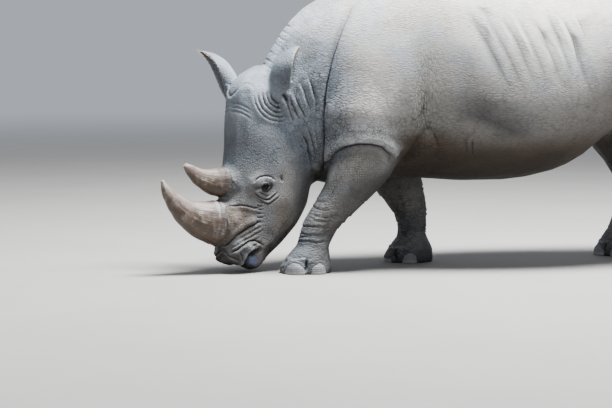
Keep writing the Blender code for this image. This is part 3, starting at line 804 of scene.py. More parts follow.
# Folds of the neck, trunk and legs, as places on the animal's left.
BODY_FOLDS = (
    # The deep crease at the base of the neck, with the roll behind the cheek.
    Fold(((-0.66, -0.20, 1.55), (-0.76, -0.26, 1.36), (-0.82, -0.27, 1.20),
          (-0.86, -0.27, 1.00), (-0.87, -0.25, 0.81), (-0.85, -0.17, 0.62),
          (-0.83, -0.08, 0.52)), 0.026, 0.009, (-1, 0, 0.1), 0.016, 0.034, 0.010, fade=0.12),
    # Skin of the chest and shoulder hanging over the top of each fore leg.
    Fold(((-0.86, -0.16, 0.57), (-0.81, -0.22, 0.645), (-0.785, -0.30, 0.695),
          (-0.73, -0.35, 0.72), (-0.65, -0.37, 0.725), (-0.575, -0.375, 0.715),
          (-0.51, -0.365, 0.675), (-0.46, -0.33, 0.62)), 0.026, 0.010, (0, 0, 1),
         0.020, 0.030, 0.012, side=Side.LEFT, fade=0.12, pale=0.8),
    Fold(((-0.80, -0.21, 0.615), (-0.76, -0.29, 0.670), (-0.71, -0.34, 0.695),
          (-0.64, -0.365, 0.700), (-0.575, -0.37, 0.688), (-0.52, -0.36, 0.650),
          (-0.48, -0.33, 0.60)), 0.007, 0.022, side=Side.LEFT, fade=0.2, dark=0.62),
    Fold(((-0.72, -0.18, 0.56), (-0.69, -0.28, 0.63), (-0.60, -0.35, 0.67),
          (-0.48, -0.37, 0.68), (-0.36, -0.36, 0.66), (-0.27, -0.31, 0.61)), 0.022, 0.010,
         (0, 0, 1), 0.018, 0.030, 0.012, side=Side.RIGHT, fade=0.12),
    # Crease behind the shoulder, running down into the armpit.
    Fold(((-0.37, -0.36, 1.42), (-0.352, -0.40, 1.24), (-0.345, -0.41, 1.08),
          (-0.335, -0.41, 0.96), (-0.305, -0.38, 0.83), (-0.26, -0.36, 0.77)),
         0.014, 0.045, (-1, 0, 0), 0.012, 0.060, fade=0.45, dark=0.25),
    Fold(((-0.345, -0.41, 1.10), (-0.335, -0.41, 0.96), (-0.305, -0.38, 0.84),
          (-0.24, -0.36, 0.75), (-0.19, -0.31, 0.64)), 0.006, 0.007, fade=0.4, dark=0.75),
    Fold(((-0.27, -0.38, 0.80), (-0.235, -0.36, 0.73), (-0.215, -0.33, 0.66)), 0.006, 0.008,
         fade=0.35, dark=0.7),
    Fold(((-0.29, -0.40, 0.83), (-0.34, -0.35, 0.745), (-0.38, -0.28, 0.66),
          (-0.42, -0.22, 0.60)), 0.018, 0.020, (-0.5, 0, 0.5), 0.010, 0.03, side=Side.LEFT,
         dark=0.6),
    Fold(((-0.31, -0.41, 1.02), (-0.300, -0.41, 0.92), (-0.26, -0.40, 0.82)), 0.005, 0.006,
         dark=0.5, fade=0.4),
    Fold(((-0.375, -0.41, 1.00), (-0.36, -0.41, 0.90), (-0.325, -0.39, 0.81)), 0.005, 0.006,
         dark=0.5, fade=0.4),
    Fold(((-0.335, -0.41, 1.20), (-0.32, -0.41, 1.10), (-0.318, -0.41, 0.99)), 0.004, 0.005,
         dark=0.4, fade=0.4),
    # Two long lines in front of the loin.
    Fold(((0.485, -0.41, 1.43), (0.499, -0.44, 1.387), (0.525, -0.484, 1.298),
          (0.538, -0.514, 1.187), (0.54, -0.527, 1.06)), 0.013, 0.0055, (-1, 0, 0), 0.004,
         0.02, fade=0.30, pale=0.2),
    Fold(((0.555, -0.41, 1.44), (0.569, -0.43, 1.41), (0.595, -0.471, 1.331),
          (0.606, -0.50, 1.25)), 0.012, 0.0055, (-1, 0, 0), 0.004, 0.02, fade=0.30,
         pale=0.2),
    # Short cracks above the belly.
    Fold(((-0.081, -0.41, 0.78), (-0.07, -0.38, 0.69), (-0.058, -0.35, 0.62)), 0.007, 0.006,
         fade=0.25),
    Fold(((-0.048, -0.41, 0.765), (-0.037, -0.38, 0.69), (-0.02, -0.35, 0.62)), 0.007, 0.006,
         fade=0.25),
    # Flank fold to the knee, the line over the thigh, and the rump crease.
    Fold(((1.02, -0.44, 1.18), (0.93, -0.46, 1.02), (0.90, -0.43, 0.87), (0.94, -0.36, 0.72)),
         0.018, 0.014, (-1, 0, 0), 0.012, 0.04, fade=0.35, dark=0.7),
    Fold(((1.46, -0.22, 1.45), (1.50, -0.27, 1.28), (1.54, -0.28, 1.10), (1.57, -0.25, 0.92)),
         0.014, 0.012, (1, 0, 0), 0.010, 0.035, fade=0.3, dark=0.7),
    Fold(((1.44, -0.12, 1.52), (1.55, -0.10, 1.40), (1.62, -0.10, 1.26), (1.66, -0.10, 1.10)),
         0.010, 0.014, (1, 0, 0), 0.006, 0.02, fade=0.45, dark=0.45),
    *rib_folds(), *nape_folds(), *neck_folds(),
)
# The shoulder, the hollow behind it, the flank's hollow, the hip, the loin and the
# sole's edge of the left fore foot.
BODY_SWELLS = (
    Swell((-0.56, -0.36, 0.95), (0.16, 0.14, 0.20), 0.012),
    Swell((-0.20, -0.42, 1.05), (0.09, 0.2, 0.30), -0.012),
    Swell((0.90, -0.46, 1.05), (0.10, 0.2, 0.16), -0.014),
    Swell((1.18, -0.40, 1.30), (0.16, 0.2, 0.14), 0.012),
    Swell((0.30, -0.10, 1.64), (0.40, 0.12, 0.10), 0.004),
    Swell((-0.955, -0.25, 0.02), (0.14, 0.12, 0.04), 0.006, Side.LEFT),
)


def on_the_head(*items: Fold | Swell) -> tuple:
    """These folds or swells, with their points read as places on the head."""
    return tuple(replace(item, on_head=True) for item in items)


def ear_rings() -> tuple[Fold, ...]:
    """Rings of loose skin in front of and below each ear."""
    made = []
    for radius, depth in ((0.046, 0.008), (0.072, 0.009), (0.100, 0.008), (0.128, 0.006),
                          (0.152, 0.004)):
        line = tuple((0.130 + radius * math.sin(math.radians(a)) / 1.1,
                      -0.044 + radius * math.cos(math.radians(a)), 0.16)
                     for a in (-15, 15, 45, 75, 105, 130))
        made.append(Fold(line, depth, 0.0055, (1, 0.3, 0), 0.004, 0.012,
                         fade=0.3, dark=0.8, pale=0.25))
    return tuple(made)


def muzzle_folds() -> tuple[Fold, ...]:
    """Parallel wrinkles under the crease of the horn's boss, and those below the eye."""
    made = []
    for k in range(1, 5):
        drop, back = 0.020 * k, 0.012 * k
        line = tuple((share + drop, forward - back, left + 0.004) for share, forward, left in (
            (0.872, 0.140, 0.11), (0.845, 0.105, 0.12), (0.820, 0.066, 0.13),
            (0.795, 0.020, 0.138), (0.780, -0.015, 0.14)))
        made.append(Fold(line[:5 - (k > 2)], 0.0045, 0.004, (-1, 0, 0), 0.002, 0.007,
                         fade=0.3, dark=0.7))
    for k, share in enumerate((0.683, 0.700, 0.719, 0.739, 0.760, 0.780)):
        line = ((share - 0.003, 0.038 - 0.003 * k, 0.142), (share + 0.004, 0.014, 0.145),
                (share, -0.014 - 0.002 * k, 0.147))
        made.append(Fold(line, 0.005, 0.0038, fade=0.35, dark=0.8))
    return tuple(made)


# Folds of the head, as head places on its left.
HEAD_FOLDS = on_the_head(
    # Round the eye: the lid's crease, the ring before it, and the pouches below.
    Fold(((0.597, 0.076, 0.155), (0.570, 0.050, 0.16), (0.554, 0.012, 0.16),
          (0.554, -0.030, 0.165), (0.577, -0.068, 0.164)), 0.010, 0.0050, (1, 0, 0),
         0.008, 0.010, 0.002, fade=0.25, pale=0.8),
    Fold(((0.592, 0.070, 0.157), (0.614, 0.072, 0.151), (0.645, 0.050, 0.144)), 0.004, 0.004,
         fade=0.35, dark=0.6),
    Fold(((0.632, 0.058, 0.14), (0.652, 0.036, 0.143), (0.670, -0.022, 0.154),
          (0.645, -0.064, 0.157), (0.616, -0.090, 0.16)), 0.007, 0.0038, (-1, 0, 0),
         0.004, 0.008, fade=0.25),
    Fold(((0.648, 0.055, 0.14), (0.674, 0.018, 0.147), (0.690, -0.035, 0.152),
          (0.662, -0.080, 0.157), (0.630, -0.112, 0.157)), 0.006, 0.0042, (-1, 0, 0),
         0.004, 0.009, fade=0.3, dark=0.8),
    Fold(((0.625, 0.036, 0.15), (0.642, 0.006, 0.15), (0.650, -0.026, 0.15),
          (0.634, -0.052, 0.155)), 0.0045, 0.003, (-1, 0, 0), 0.003, 0.006,
         fade=0.3, dark=0.8),
    Fold(((0.532, -0.097, 0.165), (0.556, -0.106, 0.165), (0.580, -0.110, 0.165)), 0.009,
         0.008, fade=0.45, dark=0.8),
    # Behind the front horn, and the long crease under its boss.
    Fold(((0.718, 0.175, 0.05), (0.712, 0.162, 0.09), (0.708, 0.120, 0.105),
          (0.710, 0.080, 0.124), (0.715, 0.036, 0.141), (0.713, 0.002, 0.145)), 0.008, 0.0045,
         (1, 0, 0), 0.005, 0.014, fade=0.2),
    Fold(((0.930, 0.186, -0.01), (0.914, 0.171, 0.064), (0.882, 0.147, 0.103),
          (0.855, 0.122, 0.116), (0.828, 0.083, 0.121), (0.804, 0.050, 0.131),
          (0.776, -0.002, 0.141)), 0.016, 0.0055, (-1, 0.2, 0), 0.009, 0.020, 0.003,
         fade=0.12),
    Fold(((0.935, 0.165, 0.09), (0.912, 0.130, 0.120), (0.885, 0.096, 0.128),
          (0.866, 0.060, 0.133)), 0.006, 0.004, (1, 0, 0), 0.004, 0.008,
         dark=0.8),
    # Nostril, with its lobe below.
    Fold(((0.952, 0.150, 0.085), (0.938, 0.128, 0.122), (0.912, 0.098, 0.136),
          (0.889, 0.060, 0.134), (0.882, 0.028, 0.132), (0.891, -0.006, 0.132),
          (0.908, -0.045, 0.129)), 0.016, 0.0055, (1, 0, 0), 0.011, 0.012, 0.004,
         fade=0.15),
    # Mouth, nearly upright with the head hung so low, and the lobes of the upper lip.
    Fold(((0.915, -0.016, 0.128), (0.930, 0.004, 0.130), (0.944, 0.034, 0.138),
          (0.962, 0.052, 0.132), (0.985, 0.052, 0.102), (1.0, 0.048, 0.060),
          (1.005, 0.046, 0.0)), 0.034, 0.0120, (0, 1, 0), 0.009, 0.015, 0.002,
         fade=0.07, pale=0.4),
    Fold(((0.952, 0.168, 0.0), (0.958, 0.152, 0.055), (0.972, 0.120, 0.098),
          (0.985, 0.090, 0.105)), 0.010, 0.005, (1, 0, 0), 0.007, 0.012,
         fade=0.15, dark=0.9),
    Fold(((0.942, 0.108, 0.132), (0.962, 0.094, 0.125), (0.984, 0.082, 0.102)), 0.008, 0.0045,
         (0, 1, 0), 0.005, 0.010, fade=0.25, dark=0.9),
    Fold(((0.962, 0.078, 0.132), (0.980, 0.068, 0.112), (0.996, 0.060, 0.075)), 0.006, 0.004,
         fade=0.3, dark=0.8),
    # Chin and the corner of the jaw.
    Fold(((0.905, -0.060, 0.125), (0.930, -0.055, 0.118), (0.955, -0.050, 0.105),
          (0.972, -0.055, 0.060), (0.976, -0.060, 0.0)), 0.004, 0.005,
         fade=0.3, dark=0.35),
    Fold(((0.89, -0.085, 0.125), (0.915, -0.088, 0.115), (0.935, -0.092, 0.09)), 0.006, 0.005,
         fade=0.3, dark=0.6),
    # Round the knob of the poll, and the brow's wrinkles under it.
    Fold(((0.146, 0.172, -0.035), (0.150, 0.174, 0.0), (0.138, 0.168, 0.035),
          (0.110, 0.150, 0.062), (0.090, 0.122, 0.090), (0.104, 0.100, 0.120),
          (0.128, 0.082, 0.14)), 0.005, 0.008, (1, 0, 0), 0.003, 0.020,
         fade=0.25, dark=0.4),
    *(Fold(((0.186 + d, 0.178, -0.01), (0.192 + d, 0.170, 0.04), (0.197 + d, 0.152, 0.08),
            (0.214 + d, 0.126, 0.117), (0.240 + d, 0.088, 0.143)), 0.0045, 0.0055,
           fade=0.3, dark=0.45) for d in (0, 0.020, 0.042)),
    *ear_rings(), *muzzle_folds(),
)
# The upper lid, the poll's knob, the temple, the jaw's corner, the nostril and the lips.
HEAD_SWELLS = on_the_head(
    Swell((0.578, -0.022, 0.165), (0.018, 0.042, 0.03), 0.007),
    Swell((0.130, 0.110, 0.070), (0.045, 0.045, 0.05), 0.009),
    Swell((0.300, 0.060, 0.155), (0.060, 0.060, 0.03), -0.008),
    Swell((0.660, -0.150, 0.150), (0.060, 0.080, 0.04), 0.006),
    Swell((0.780, 0.080, 0.120), (0.050, 0.050, 0.03), 0.006),
    Swell((0.965, 0.120, 0.085), (0.028, 0.040, 0.05), 0.010),
    Swell((0.920, 0.060, 0.135), (0.016, 0.030, 0.02), 0.010),
    Swell((0.990, -0.020, 0.075), (0.030, 0.035, 0.05), 0.014),
    Swell((0.995, -0.030, 0.0), (0.030, 0.035, 0.06), 0.014, Side.LEFT),
    Swell((0.960, -0.052, 0.080), (0.035, 0.030, 0.05), 0.014),
    Swell((1.000, 0.105, 0.055), (0.025, 0.035, 0.05), 0.014),
    Swell((0.850, -0.060, 0.135), (0.040, 0.040, 0.03), -0.006),
)


# ---------------------------------------------------------------- horns, eyes, nails


@dataclass(frozen=True)
class Horn:
    """One horn of matted fibres, through sections on the head.

    Each section is a share of the head's length, the reach forward, the half size along
    the head and the half width.
    """

    node: str
    sections: tuple[tuple[float, float, float, float], ...]
    collar: float
    sides: int = 96
    steps: int = 10
    ridge: float = 0.0016
    ridge_pitch: float = 0.021
    lump: float = 0.0024
    flute: float = 0.020

    def rings(self, rows: np.ndarray, squareness: float = 2.25) -> np.ndarray:
        """Rings of points through these sections."""
        down, ahead, left = (np.array(axis) for axis in HEAD.axes())
        steps = np.gradient(rows[:, :2] * (HEAD.length, 1), axis=0)
        angle = np.arange(self.sides) * 2 * math.pi / self.sides
        made = []
        for k, ((share, forward, depth, half_width), (run, rise)) in enumerate(zip(rows, steps)):
            power = 2 / (2 + (squareness - 2) * (1 - k / len(rows)))
            across = np.sign(np.cos(angle)) * np.abs(np.cos(angle)) ** power
            upward = np.sign(np.sin(angle)) * np.abs(np.sin(angle)) ** power
            along = down * run + ahead * rise
            upright = np.cross(along / np.linalg.norm(along), left)
            made.append(np.array(HEAD.place(share, forward, 0))
                        + np.outer(across * half_width, left)
                        + np.outer(upward * depth, upright))
        return np.array(made)

    def rows(self) -> np.ndarray:
        """Fine sections, closed by a rounded tip."""
        rows = spline(self.sections, self.steps)
        last = rows[-1]
        step = rows[-1] - rows[-2]
        tip = [last + step * reach * 0.5 * (1, 1, 0, 0) for reach in (0.25, 0.42, 0.5)]
        for row, size in zip(tip, (0.8, 0.5, 0.12)):
            row[2:] = last[2:] * size
        return np.vstack([rows, tip])

    def plug(self) -> bpy.types.Object:
        """The part inside the head, a little smaller, for the hide to close over."""
        rows = spline(self.sections[:2], 4)
        rows[:, 2:] -= 0.006
        return tube(self.rings(rows)[:, ::4], self.node + "_plug")

    def build(self, hide: bpy.types.Object) -> bpy.types.Object:
        """The horn, fluted along its fibres, with ridges round its foot."""
        rows = self.rows()
        obj = tube(self.rings(rows), self.node + "_sheath")
        mesh = obj.data
        reach = reach_of(points_of(mesh), hide)
        share = np.repeat(np.arange(len(rows)) / (len(rows) - 1), self.sides)
        angle = np.tile(np.arange(self.sides) * 2 * math.pi / self.sides, len(rows))
        wide = np.repeat(rows[:, 3], self.sides)
        run = np.linalg.norm(np.diff(rows[:, :2] * (HEAD.length, 1), axis=0), axis=1)
        length = np.repeat(np.concatenate([[0], np.cumsum(run)]), self.sides)
        out = normals_of(mesh)
        points = points_of(mesh)
        foot = smooth(reach, self.collar * 1.3, self.collar * 0.8) * smooth(reach, -0.004, 0.004)
        waves = np.sin(reach * 2 * math.pi / self.ridge_pitch + 1.5 * noise(points, 0.05, 3))
        lumps = noise(points, 0.035, 5) * self.lump * smooth(share, 1, 0.8)
        flutes = noise(np.stack([np.cos(angle) * 0.09, np.sin(angle) * 0.09,
                                 length * 0.05], axis=1), 0.012, 9) * wide * self.flute
        points += out * (foot * (self.ridge * waves + 0.002) + lumps
                         + flutes * smooth(share, 0.98, 0.6))[:, None]
        set_points(mesh, points)
        mark(mesh, "reach", reach)
        mark(mesh, "share", share)
        # Painted shade: how far each place faces down, broken by noise.
        low = -out[:, 2] + 0.30 * noise(points, 0.08, 8) + 0.45 * noise(points, 0.022, 14)
        mark(mesh, "under", smooth(low, -0.40, 0.40))
        mark(mesh, "collar", smooth(reach, self.collar * 1.25, self.collar * 0.75)
             * self.collar / HORNS[0].collar)
        mark_ways(mesh, "fibre", np.stack([np.cos(angle) * 0.08, np.sin(angle) * 0.08,
                                           length * 0.07], axis=1))
        return obj


HORNS = (
    Horn("horn_front", ((0.800, 0.110, 0.124, 0.112), (0.803, 0.205, 0.124, 0.107),
                        (0.793, 0.300, 0.106, 0.088), (0.765, 0.395, 0.076, 0.066),
                        (0.710, 0.480, 0.046, 0.042), (0.660, 0.530, 0.027, 0.025),
                        (0.617, 0.556, 0.008, 0.008)), 0.046),
    Horn("horn_rear", ((0.590, 0.080, 0.092, 0.104), (0.592, 0.155, 0.088, 0.094),
                       (0.598, 0.245, 0.074, 0.056), (0.582, 0.325, 0.050, 0.036),
                       (0.550, 0.390, 0.030, 0.024), (0.528, 0.425, 0.012, 0.012)), 0.022),
)


@dataclass(frozen=True)
class HornFinish:
    """Matted horn fibres, stained in streaks, with painted shade below and at the foot."""

    pale: Point = (0.165, 0.122, 0.098)
    tan: Point = (0.088, 0.062, 0.047)
    brown_stain_and_shade: Point = (0.043, 0.024, 0.011)
    tip: Point = (0.30, 0.25, 0.21)
    collar_dark: Point = (0.045, 0.043, 0.046)
    collar_pale: Point = (0.23, 0.205, 0.185)

    def material(self) -> bpy.types.Material:
        """The horns' material."""
        tree = Surface("horn")
        at = tree.place()
        fibre = tree.node("ShaderNodeAttribute", {"attribute_name": "fibre"}, {}, "Vector")
        reach, share = tree.attribute("reach"), tree.attribute("share")
        fine = tree.clouds(fibre, 0.0035, 3)
        broad = tree.clouds(fibre, 0.016, 3)
        patches = tree.clouds(at, 0.07, 3)
        colour = tree.mix(broad.eased(0.35, 0.7), self.tan, self.pale)
        colour = tree.mix((patches + share * 0.25).eased(0.5, 0.85), colour, self.pale)
        blots = tree.clouds(at, 0.028, 3)
        stains = tree.clouds(fibre, 0.030, 3).eased(0.46, 0.64)
        colour = tree.mix(stains * 0.65, colour, self.brown_stain_and_shade)
        flakes = tree.clouds(fibre, 0.010, 2).eased(0.58, 0.66)
        colour = tree.mix(flakes * 0.6, colour, self.collar_pale)
        bands = (reach * 210 + patches * 7 + blots * 4 + 2.2).sine().eased(-0.1, 0.8)
        collar = tree.mix(bands * (fine * 0.5 + 0.6), self.collar_dark, self.collar_pale)
        colour = tree.mix(tree.attribute("collar") * blots.eased(0.25, 0.6, 0.45, 0.95), colour,
                          collar)
        colour = tree.mix((share + (patches - 0.5) * 0.3).eased(0.72, 1.0), colour, self.tip)
        # Painted shade with stain: darker and browner on the side that faces down.
        under = tree.attribute("under")
        colour = tree.mix(under * (patches * 0.5 + 0.65), colour, self.brown_stain_and_shade)
        chips = under * (1 - under) * 4 * blots.eased(0.50, 0.62) * fine.eased(0.35, 0.6)
        colour = tree.mix(chips * 0.7, colour, self.collar_pale)
        # Painted shade at the foot, where the horn meets the hide.
        colour = tree.shaded(colour, fine.eased(0.28, 0.68, 0.45, 1.2)
                             * reach.eased(0, 0.012, 0.4, 1))
        height = fine * 0.6 + broad * 0.4
        return tree.finish(Base_Color=colour, Roughness=fine * 0.25 + 0.42,
                           Normal=tree.bump(height, 0.0028))


@dataclass(frozen=True)
class Eye:
    """One dark eyeball with a raised cornea."""

    node: str
    sign: int
    place: Point = (0.605, -0.005, 0.152)
    radius: float = 0.0255
    rings: int = 60
    sides: int = 64

    def centre(self) -> Vector:
        """The middle of the ball."""
        share, forward, left = self.place
        return HEAD.place(share, forward, left * self.sign)

    def look(self) -> Vector:
        """The way the eye looks: out to the side, and a little forward and down."""
        return Vector(way_of((0.10, 0.22, 1), self.sign, True)).normalized()

    def build(self) -> bpy.types.Object:
        """The ball, with how far each vertex lies from the pupil's middle."""
        look = np.array(self.look())
        flat = np.cross(look, np.array(HEAD.axes()[0]))
        flat /= np.linalg.norm(flat)
        upright = np.cross(look, flat)
        turn = np.radians(np.linspace(1.5, 178.5, self.rings))
        around = np.arange(self.sides) * 2 * math.pi / self.sides
        centre = np.array(self.centre())
        rings = []
        for angle in turn:
            radius = self.radius * (0.955 + 0.045 * math.exp(-(angle / 0.50) ** 2))
            rings.append(centre + radius * (math.cos(angle) * look + math.sin(angle) * (
                np.outer(np.cos(around), flat) + np.outer(np.sin(around), upright))))
        obj = tube(np.array(rings), self.node + "_ball")
        gaze = np.degrees(np.repeat(turn, self.sides))
        mark(obj.data, "gaze", gaze * (1 + 0.12 * np.tile(np.sin(around) ** 2, self.rings)))
        return obj


@dataclass(frozen=True)
class EyeFinish:
    """Wet eye, almost black from its pupil to its edge."""

    pupil: Point = (0.002, 0.002, 0.002)
    iris: Point = (0.0045, 0.0030, 0.0022)
    rim: Point = (0.003, 0.0025, 0.0025)
    ball: Point = (0.008, 0.005, 0.004)

    def material(self) -> bpy.types.Material:
        """The eyes' material."""
        tree = Surface("eye")
        gaze = tree.attribute("gaze")
        flecks = tree.clouds(tree.place(), 0.002, 3)
        colour = tree.mix(gaze.eased(13, 16), self.pupil, self.iris)
        colour = tree.shaded(colour, flecks * 0.8 + 0.6)
        colour = tree.mix(gaze.eased(27, 33), colour, self.rim)
        colour = tree.mix(gaze.eased(38, 50), colour, self.ball)
        return tree.finish(Base_Color=colour, Roughness=0.08, Specular_IOR_Level=0.12)


@dataclass(frozen=True)
class Nail:
    """One broad toenail, grown from its solid."""

    leg: str
    toe: str
    grain: float = 0.0032
    shrink: float = 0.003
    ridge: float = 0.0007
    ridge_pitch: float = 0.0105
    swell: float = 0.0016
    chip: float = 0.0014

    @property
    def node(self) -> str:
        """The solid it stands for."""
        return f"{self.leg}_nail_{self.toe}"

    def plug(self) -> bpy.types.Object:
        """A slightly smaller copy for the hide to pass under."""
        obj = copy_of(self.node)
        set_points(obj.data, points_of(obj.data) - normals_of(obj.data) * self.shrink)
        return obj

    def build(self) -> bpy.types.Object:
        """The nail, with growth ridges down its face."""
        obj = copy_of(self.node)
        obj.name = self.node + "_plate"
        applied(obj, "REMESH", mode="VOXEL", voxel_size=self.grain)
        relaxed(obj, 8, np.ones(len(obj.data.vertices)))
        points, out = points_of(obj.data), normals_of(obj.data)
        free = smooth(points[:, 2], 0.004, 0.014)
        ridges = np.sin(points[:, 2] * 2 * math.pi / self.ridge_pitch
                        + 2.2 * noise(points, 0.045, 4))
        chips = noise(points, 0.016, 6) * smooth(points[:, 2], 0.022, 0.006)
        points += out * (self.swell + free * (self.ridge * ridges
                                              + 0.0009 * noise(points, 0.03, 2))
                         - self.chip * np.abs(chips))[:, None]
        points[:, 2] = np.maximum(points[:, 2], 0.0004)
        set_points(obj.data, points)
        return obj


@dataclass(frozen=True)
class NailFinish:
    """Dull grey nail, worn pale at its edge."""

    grey: Point = (0.15, 0.157, 0.168)
    pale: Point = (0.27, 0.262, 0.25)

    def material(self) -> bpy.types.Material:
        """The nails' material."""
        tree = Surface("nail")
        at = tree.place()
        height = tree.node("ShaderNodeSeparateXYZ", {}, {0: at}, 2)
        streaks = tree.clouds(tree.stretched(at, (1, 1, 0.12)), 0.006, 3)
        bands = tree.clouds(tree.stretched(at, (0.2, 0.2, 1)), 0.006, 3)
        edge = (height + (streaks - 0.5) * 0.012).eased(0.026, 0.008)
        colour = tree.mix(edge * 0.9, self.grey, self.pale)
        colour = tree.mix((streaks * 0.5 + bands * 0.5).eased(0.5, 0.72) * 0.5, colour,
                          self.pale)
        colour = tree.shaded(colour, bands * 0.5 + 0.72)
        return tree.finish(Base_Color=colour, Roughness=streaks * 0.3 + 0.5,
                           Normal=tree.bump(streaks * 0.4 + bands * 0.6, 0.0014))


# ---------------------------------------------------------------- bristles


class BristleTree(Tree):
    """Geometry Nodes that stand a tapered bristle on each root."""

    INPUTS = {"Geometry": "Geometry", "Thickness": "Float", "Bow": "Float", "Seed": "Int",
              "Finish": "Material"}

    def __init__(self, sides: int, segments: int) -> None:
        """Builds the tree for bristles of so many sides and lengthwise parts."""
        self.group = bpy.data.node_groups.new("bristles", "GeometryNodeTree")
        super().__init__(self.group)
        for name, kind in self.INPUTS.items():
            self.group.interface.new_socket(name, in_out="INPUT", socket_type=f"NodeSocket{kind}")
        self.group.interface.new_socket("Geometry", in_out="OUTPUT",
                                        socket_type="NodeSocketGeometry")
        given = {name: self.node("NodeGroupInput", {}, {}, name) for name in self.INPUTS}
        cone = self.node("GeometryNodeMeshCone", {"fill_type": "NGON"}, {
            "Vertices": sides, "Side Segments": segments, "Radius Top": 0.18,
            "Radius Bottom": 1.0, "Depth": 1.0}, "Mesh")
        at = self.node("GeometryNodeInputPosition", {}, {})
        height = self.node("ShaderNodeSeparateXYZ", {}, {0: at}, 2)
        offset = self.node("ShaderNodeCombineXYZ", {}, {0: height * height * given["Bow"]})
        bristle = self.node("GeometryNodeSetPosition", {}, {"Geometry": cone, "Offset": offset})
        roots = self.node("GeometryNodeMeshToPoints", {}, {"Mesh": given["Geometry"]})
        way = self.node("GeometryNodeInputNamedAttribute", {"data_type": "FLOAT_VECTOR"},
                        {"Name": "way"})
        length = self.node("ShaderNodeVectorMath", {"operation": "LENGTH"}, {0: way}, "Value")
        turn = self.node("FunctionNodeAlignEulerToVector", {"axis": "Z"}, {"Vector": way})
        spread = self.node("FunctionNodeRandomValue", {"data_type": "FLOAT"},
                           {2: 0.7, 3: 1.25, "Seed": given["Seed"]}, 1)
        thick = spread * given["Thickness"]
        size = self.node("ShaderNodeCombineXYZ", {}, {0: thick, 1: thick, 2: length})
        placed = self.node("GeometryNodeInstanceOnPoints", {}, {
            "Points": roots, "Instance": bristle, "Rotation": turn, "Scale": size})
        real = self.node("GeometryNodeRealizeInstances", {}, {0: placed})
        made = self.node("GeometryNodeSetMaterial", {},
                         {"Geometry": real, "Material": given["Finish"]})
        self.links.new(made.socket, self.nodes.new("NodeGroupOutput").inputs[0])

    def grow(self, name: str, roots: np.ndarray, ways: np.ndarray, places: np.ndarray,
             thickness: float, bow: float, finish: bpy.types.Material) -> bpy.types.Object:
        """Bristles as one plain mesh.

        Args:
            name: The piece's name.
            roots: Where each bristle starts.
            ways: The direction of each, as long as the bristle.
            places: Each root's place on the unwrapped skin, from 0 to 1.
            thickness: Radius at the root, in metres.
            bow: How far a tip bends, in radii.
            finish: The bristles' material.

        Returns:
            The piece, with its map of root places.
        """
        obj = new_object(name, roots, [])
        mark_ways(obj.data, "way", ways)
        modifier = obj.modifiers.new("Bristles", "NODES")
        modifier.node_group = self.group
        values = {"Thickness": thickness, "Bow": bow, "Seed": 7, "Finish": finish}
        for item in self.group.interface.items_tree:
            if item.item_type == "SOCKET" and item.in_out == "INPUT" and item.name in values:
                modifier[item.identifier] = values[item.name]
        self._mapped(settled(obj, modifier).data, places)
        return obj

    def _mapped(self, mesh: bpy.types.Mesh, places: np.ndarray) -> None:
        """Gives each bristle a small patch at its root's place."""
        per = len(mesh.vertices) // len(places)
        corner = np.empty(len(mesh.loops), np.int64)
        mesh.loops.foreach_get("vertex_index", corner)
        bristle, part = corner // per, corner % per
        patch = np.stack([part % 4 / 3, part / per], axis=1) * 0.003
        layer = mesh.uv_layers.new(name="OFBake")
        layer.data.foreach_set("uv", (places[bristle] + patch).astype(np.float32).ravel())


@dataclass(frozen=True)
class BristleFinish:
    """Coarse dark hair, paler at its tips."""

    name: str
    root: Point
    tip: Point

    def material(self) -> bpy.types.Material:
        """The bristles' material."""
        tree = Surface(self.name)
        mottle = tree.clouds(tree.place(), 0.004, 2)
        colour = tree.mix(mottle.eased(0.35, 0.65), self.root, self.tip)
        return tree.finish(Base_Color=colour, Roughness=mottle * 0.3 + 0.45)


DARK_HAIR = BristleFinish("tail_hair", (0.035, 0.03, 0.027), (0.08, 0.065, 0.05))
TAN_HAIR = BristleFinish("ear_hair", (0.10, 0.075, 0.05), (0.30, 0.22, 0.14))


@dataclass(frozen=True)
class TailTuft:
    """Brush of long dark hairs round the tail's end.

    The hairs start over a stretch of the tail below its top, on an oval round its
    middle, and none hangs much below the end.
    """

    count: int = 520
    thickness: float = 0.0011
    top: float = 0.955
    end: float = 0.645
    stretch: float = 0.19
    half_size: tuple[float, float] = (0.016, 0.019)
    lengths: tuple[float, float] = (0.13, 0.23)

    def build(self, maker: BristleTree, finish: bpy.types.Material) -> bpy.types.Object:
        """The brush."""
        middle = middle_of(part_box("tail_tuft"))
        rng = np.random.default_rng(11)
        drop = rng.random(self.count) ** 1.2
        start = self.top - drop * self.stretch
        angle = rng.random(self.count) * 2 * math.pi
        thin = 1 - 0.35 * drop
        wide, deep = self.half_size
        roots = np.stack([middle[0] + wide * thin * np.cos(angle),
                          middle[1] + deep * thin * np.sin(angle), start], axis=1)
        shortest, longest = self.lengths
        length = shortest + (longest - shortest) * rng.random(self.count)
        length = np.minimum(length, start - self.end + 0.01)
        flare = 0.10 + 0.12 * rng.random(self.count)
        ways = np.stack([np.cos(angle) * flare * 0.75, np.sin(angle) * flare * 1.25,
                         -np.ones(self.count)], axis=1)
        ways += rng.normal(0, 0.035, ways.shape)
        ways = to_length(ways, length)
        places = np.stack([0.05 + 0.25 * angle / (2 * math.pi), 0.05 + 0.3 * drop], axis=1)
        return maker.grow("tail_brush", roots, ways, places, self.thickness, 3.0, finish)


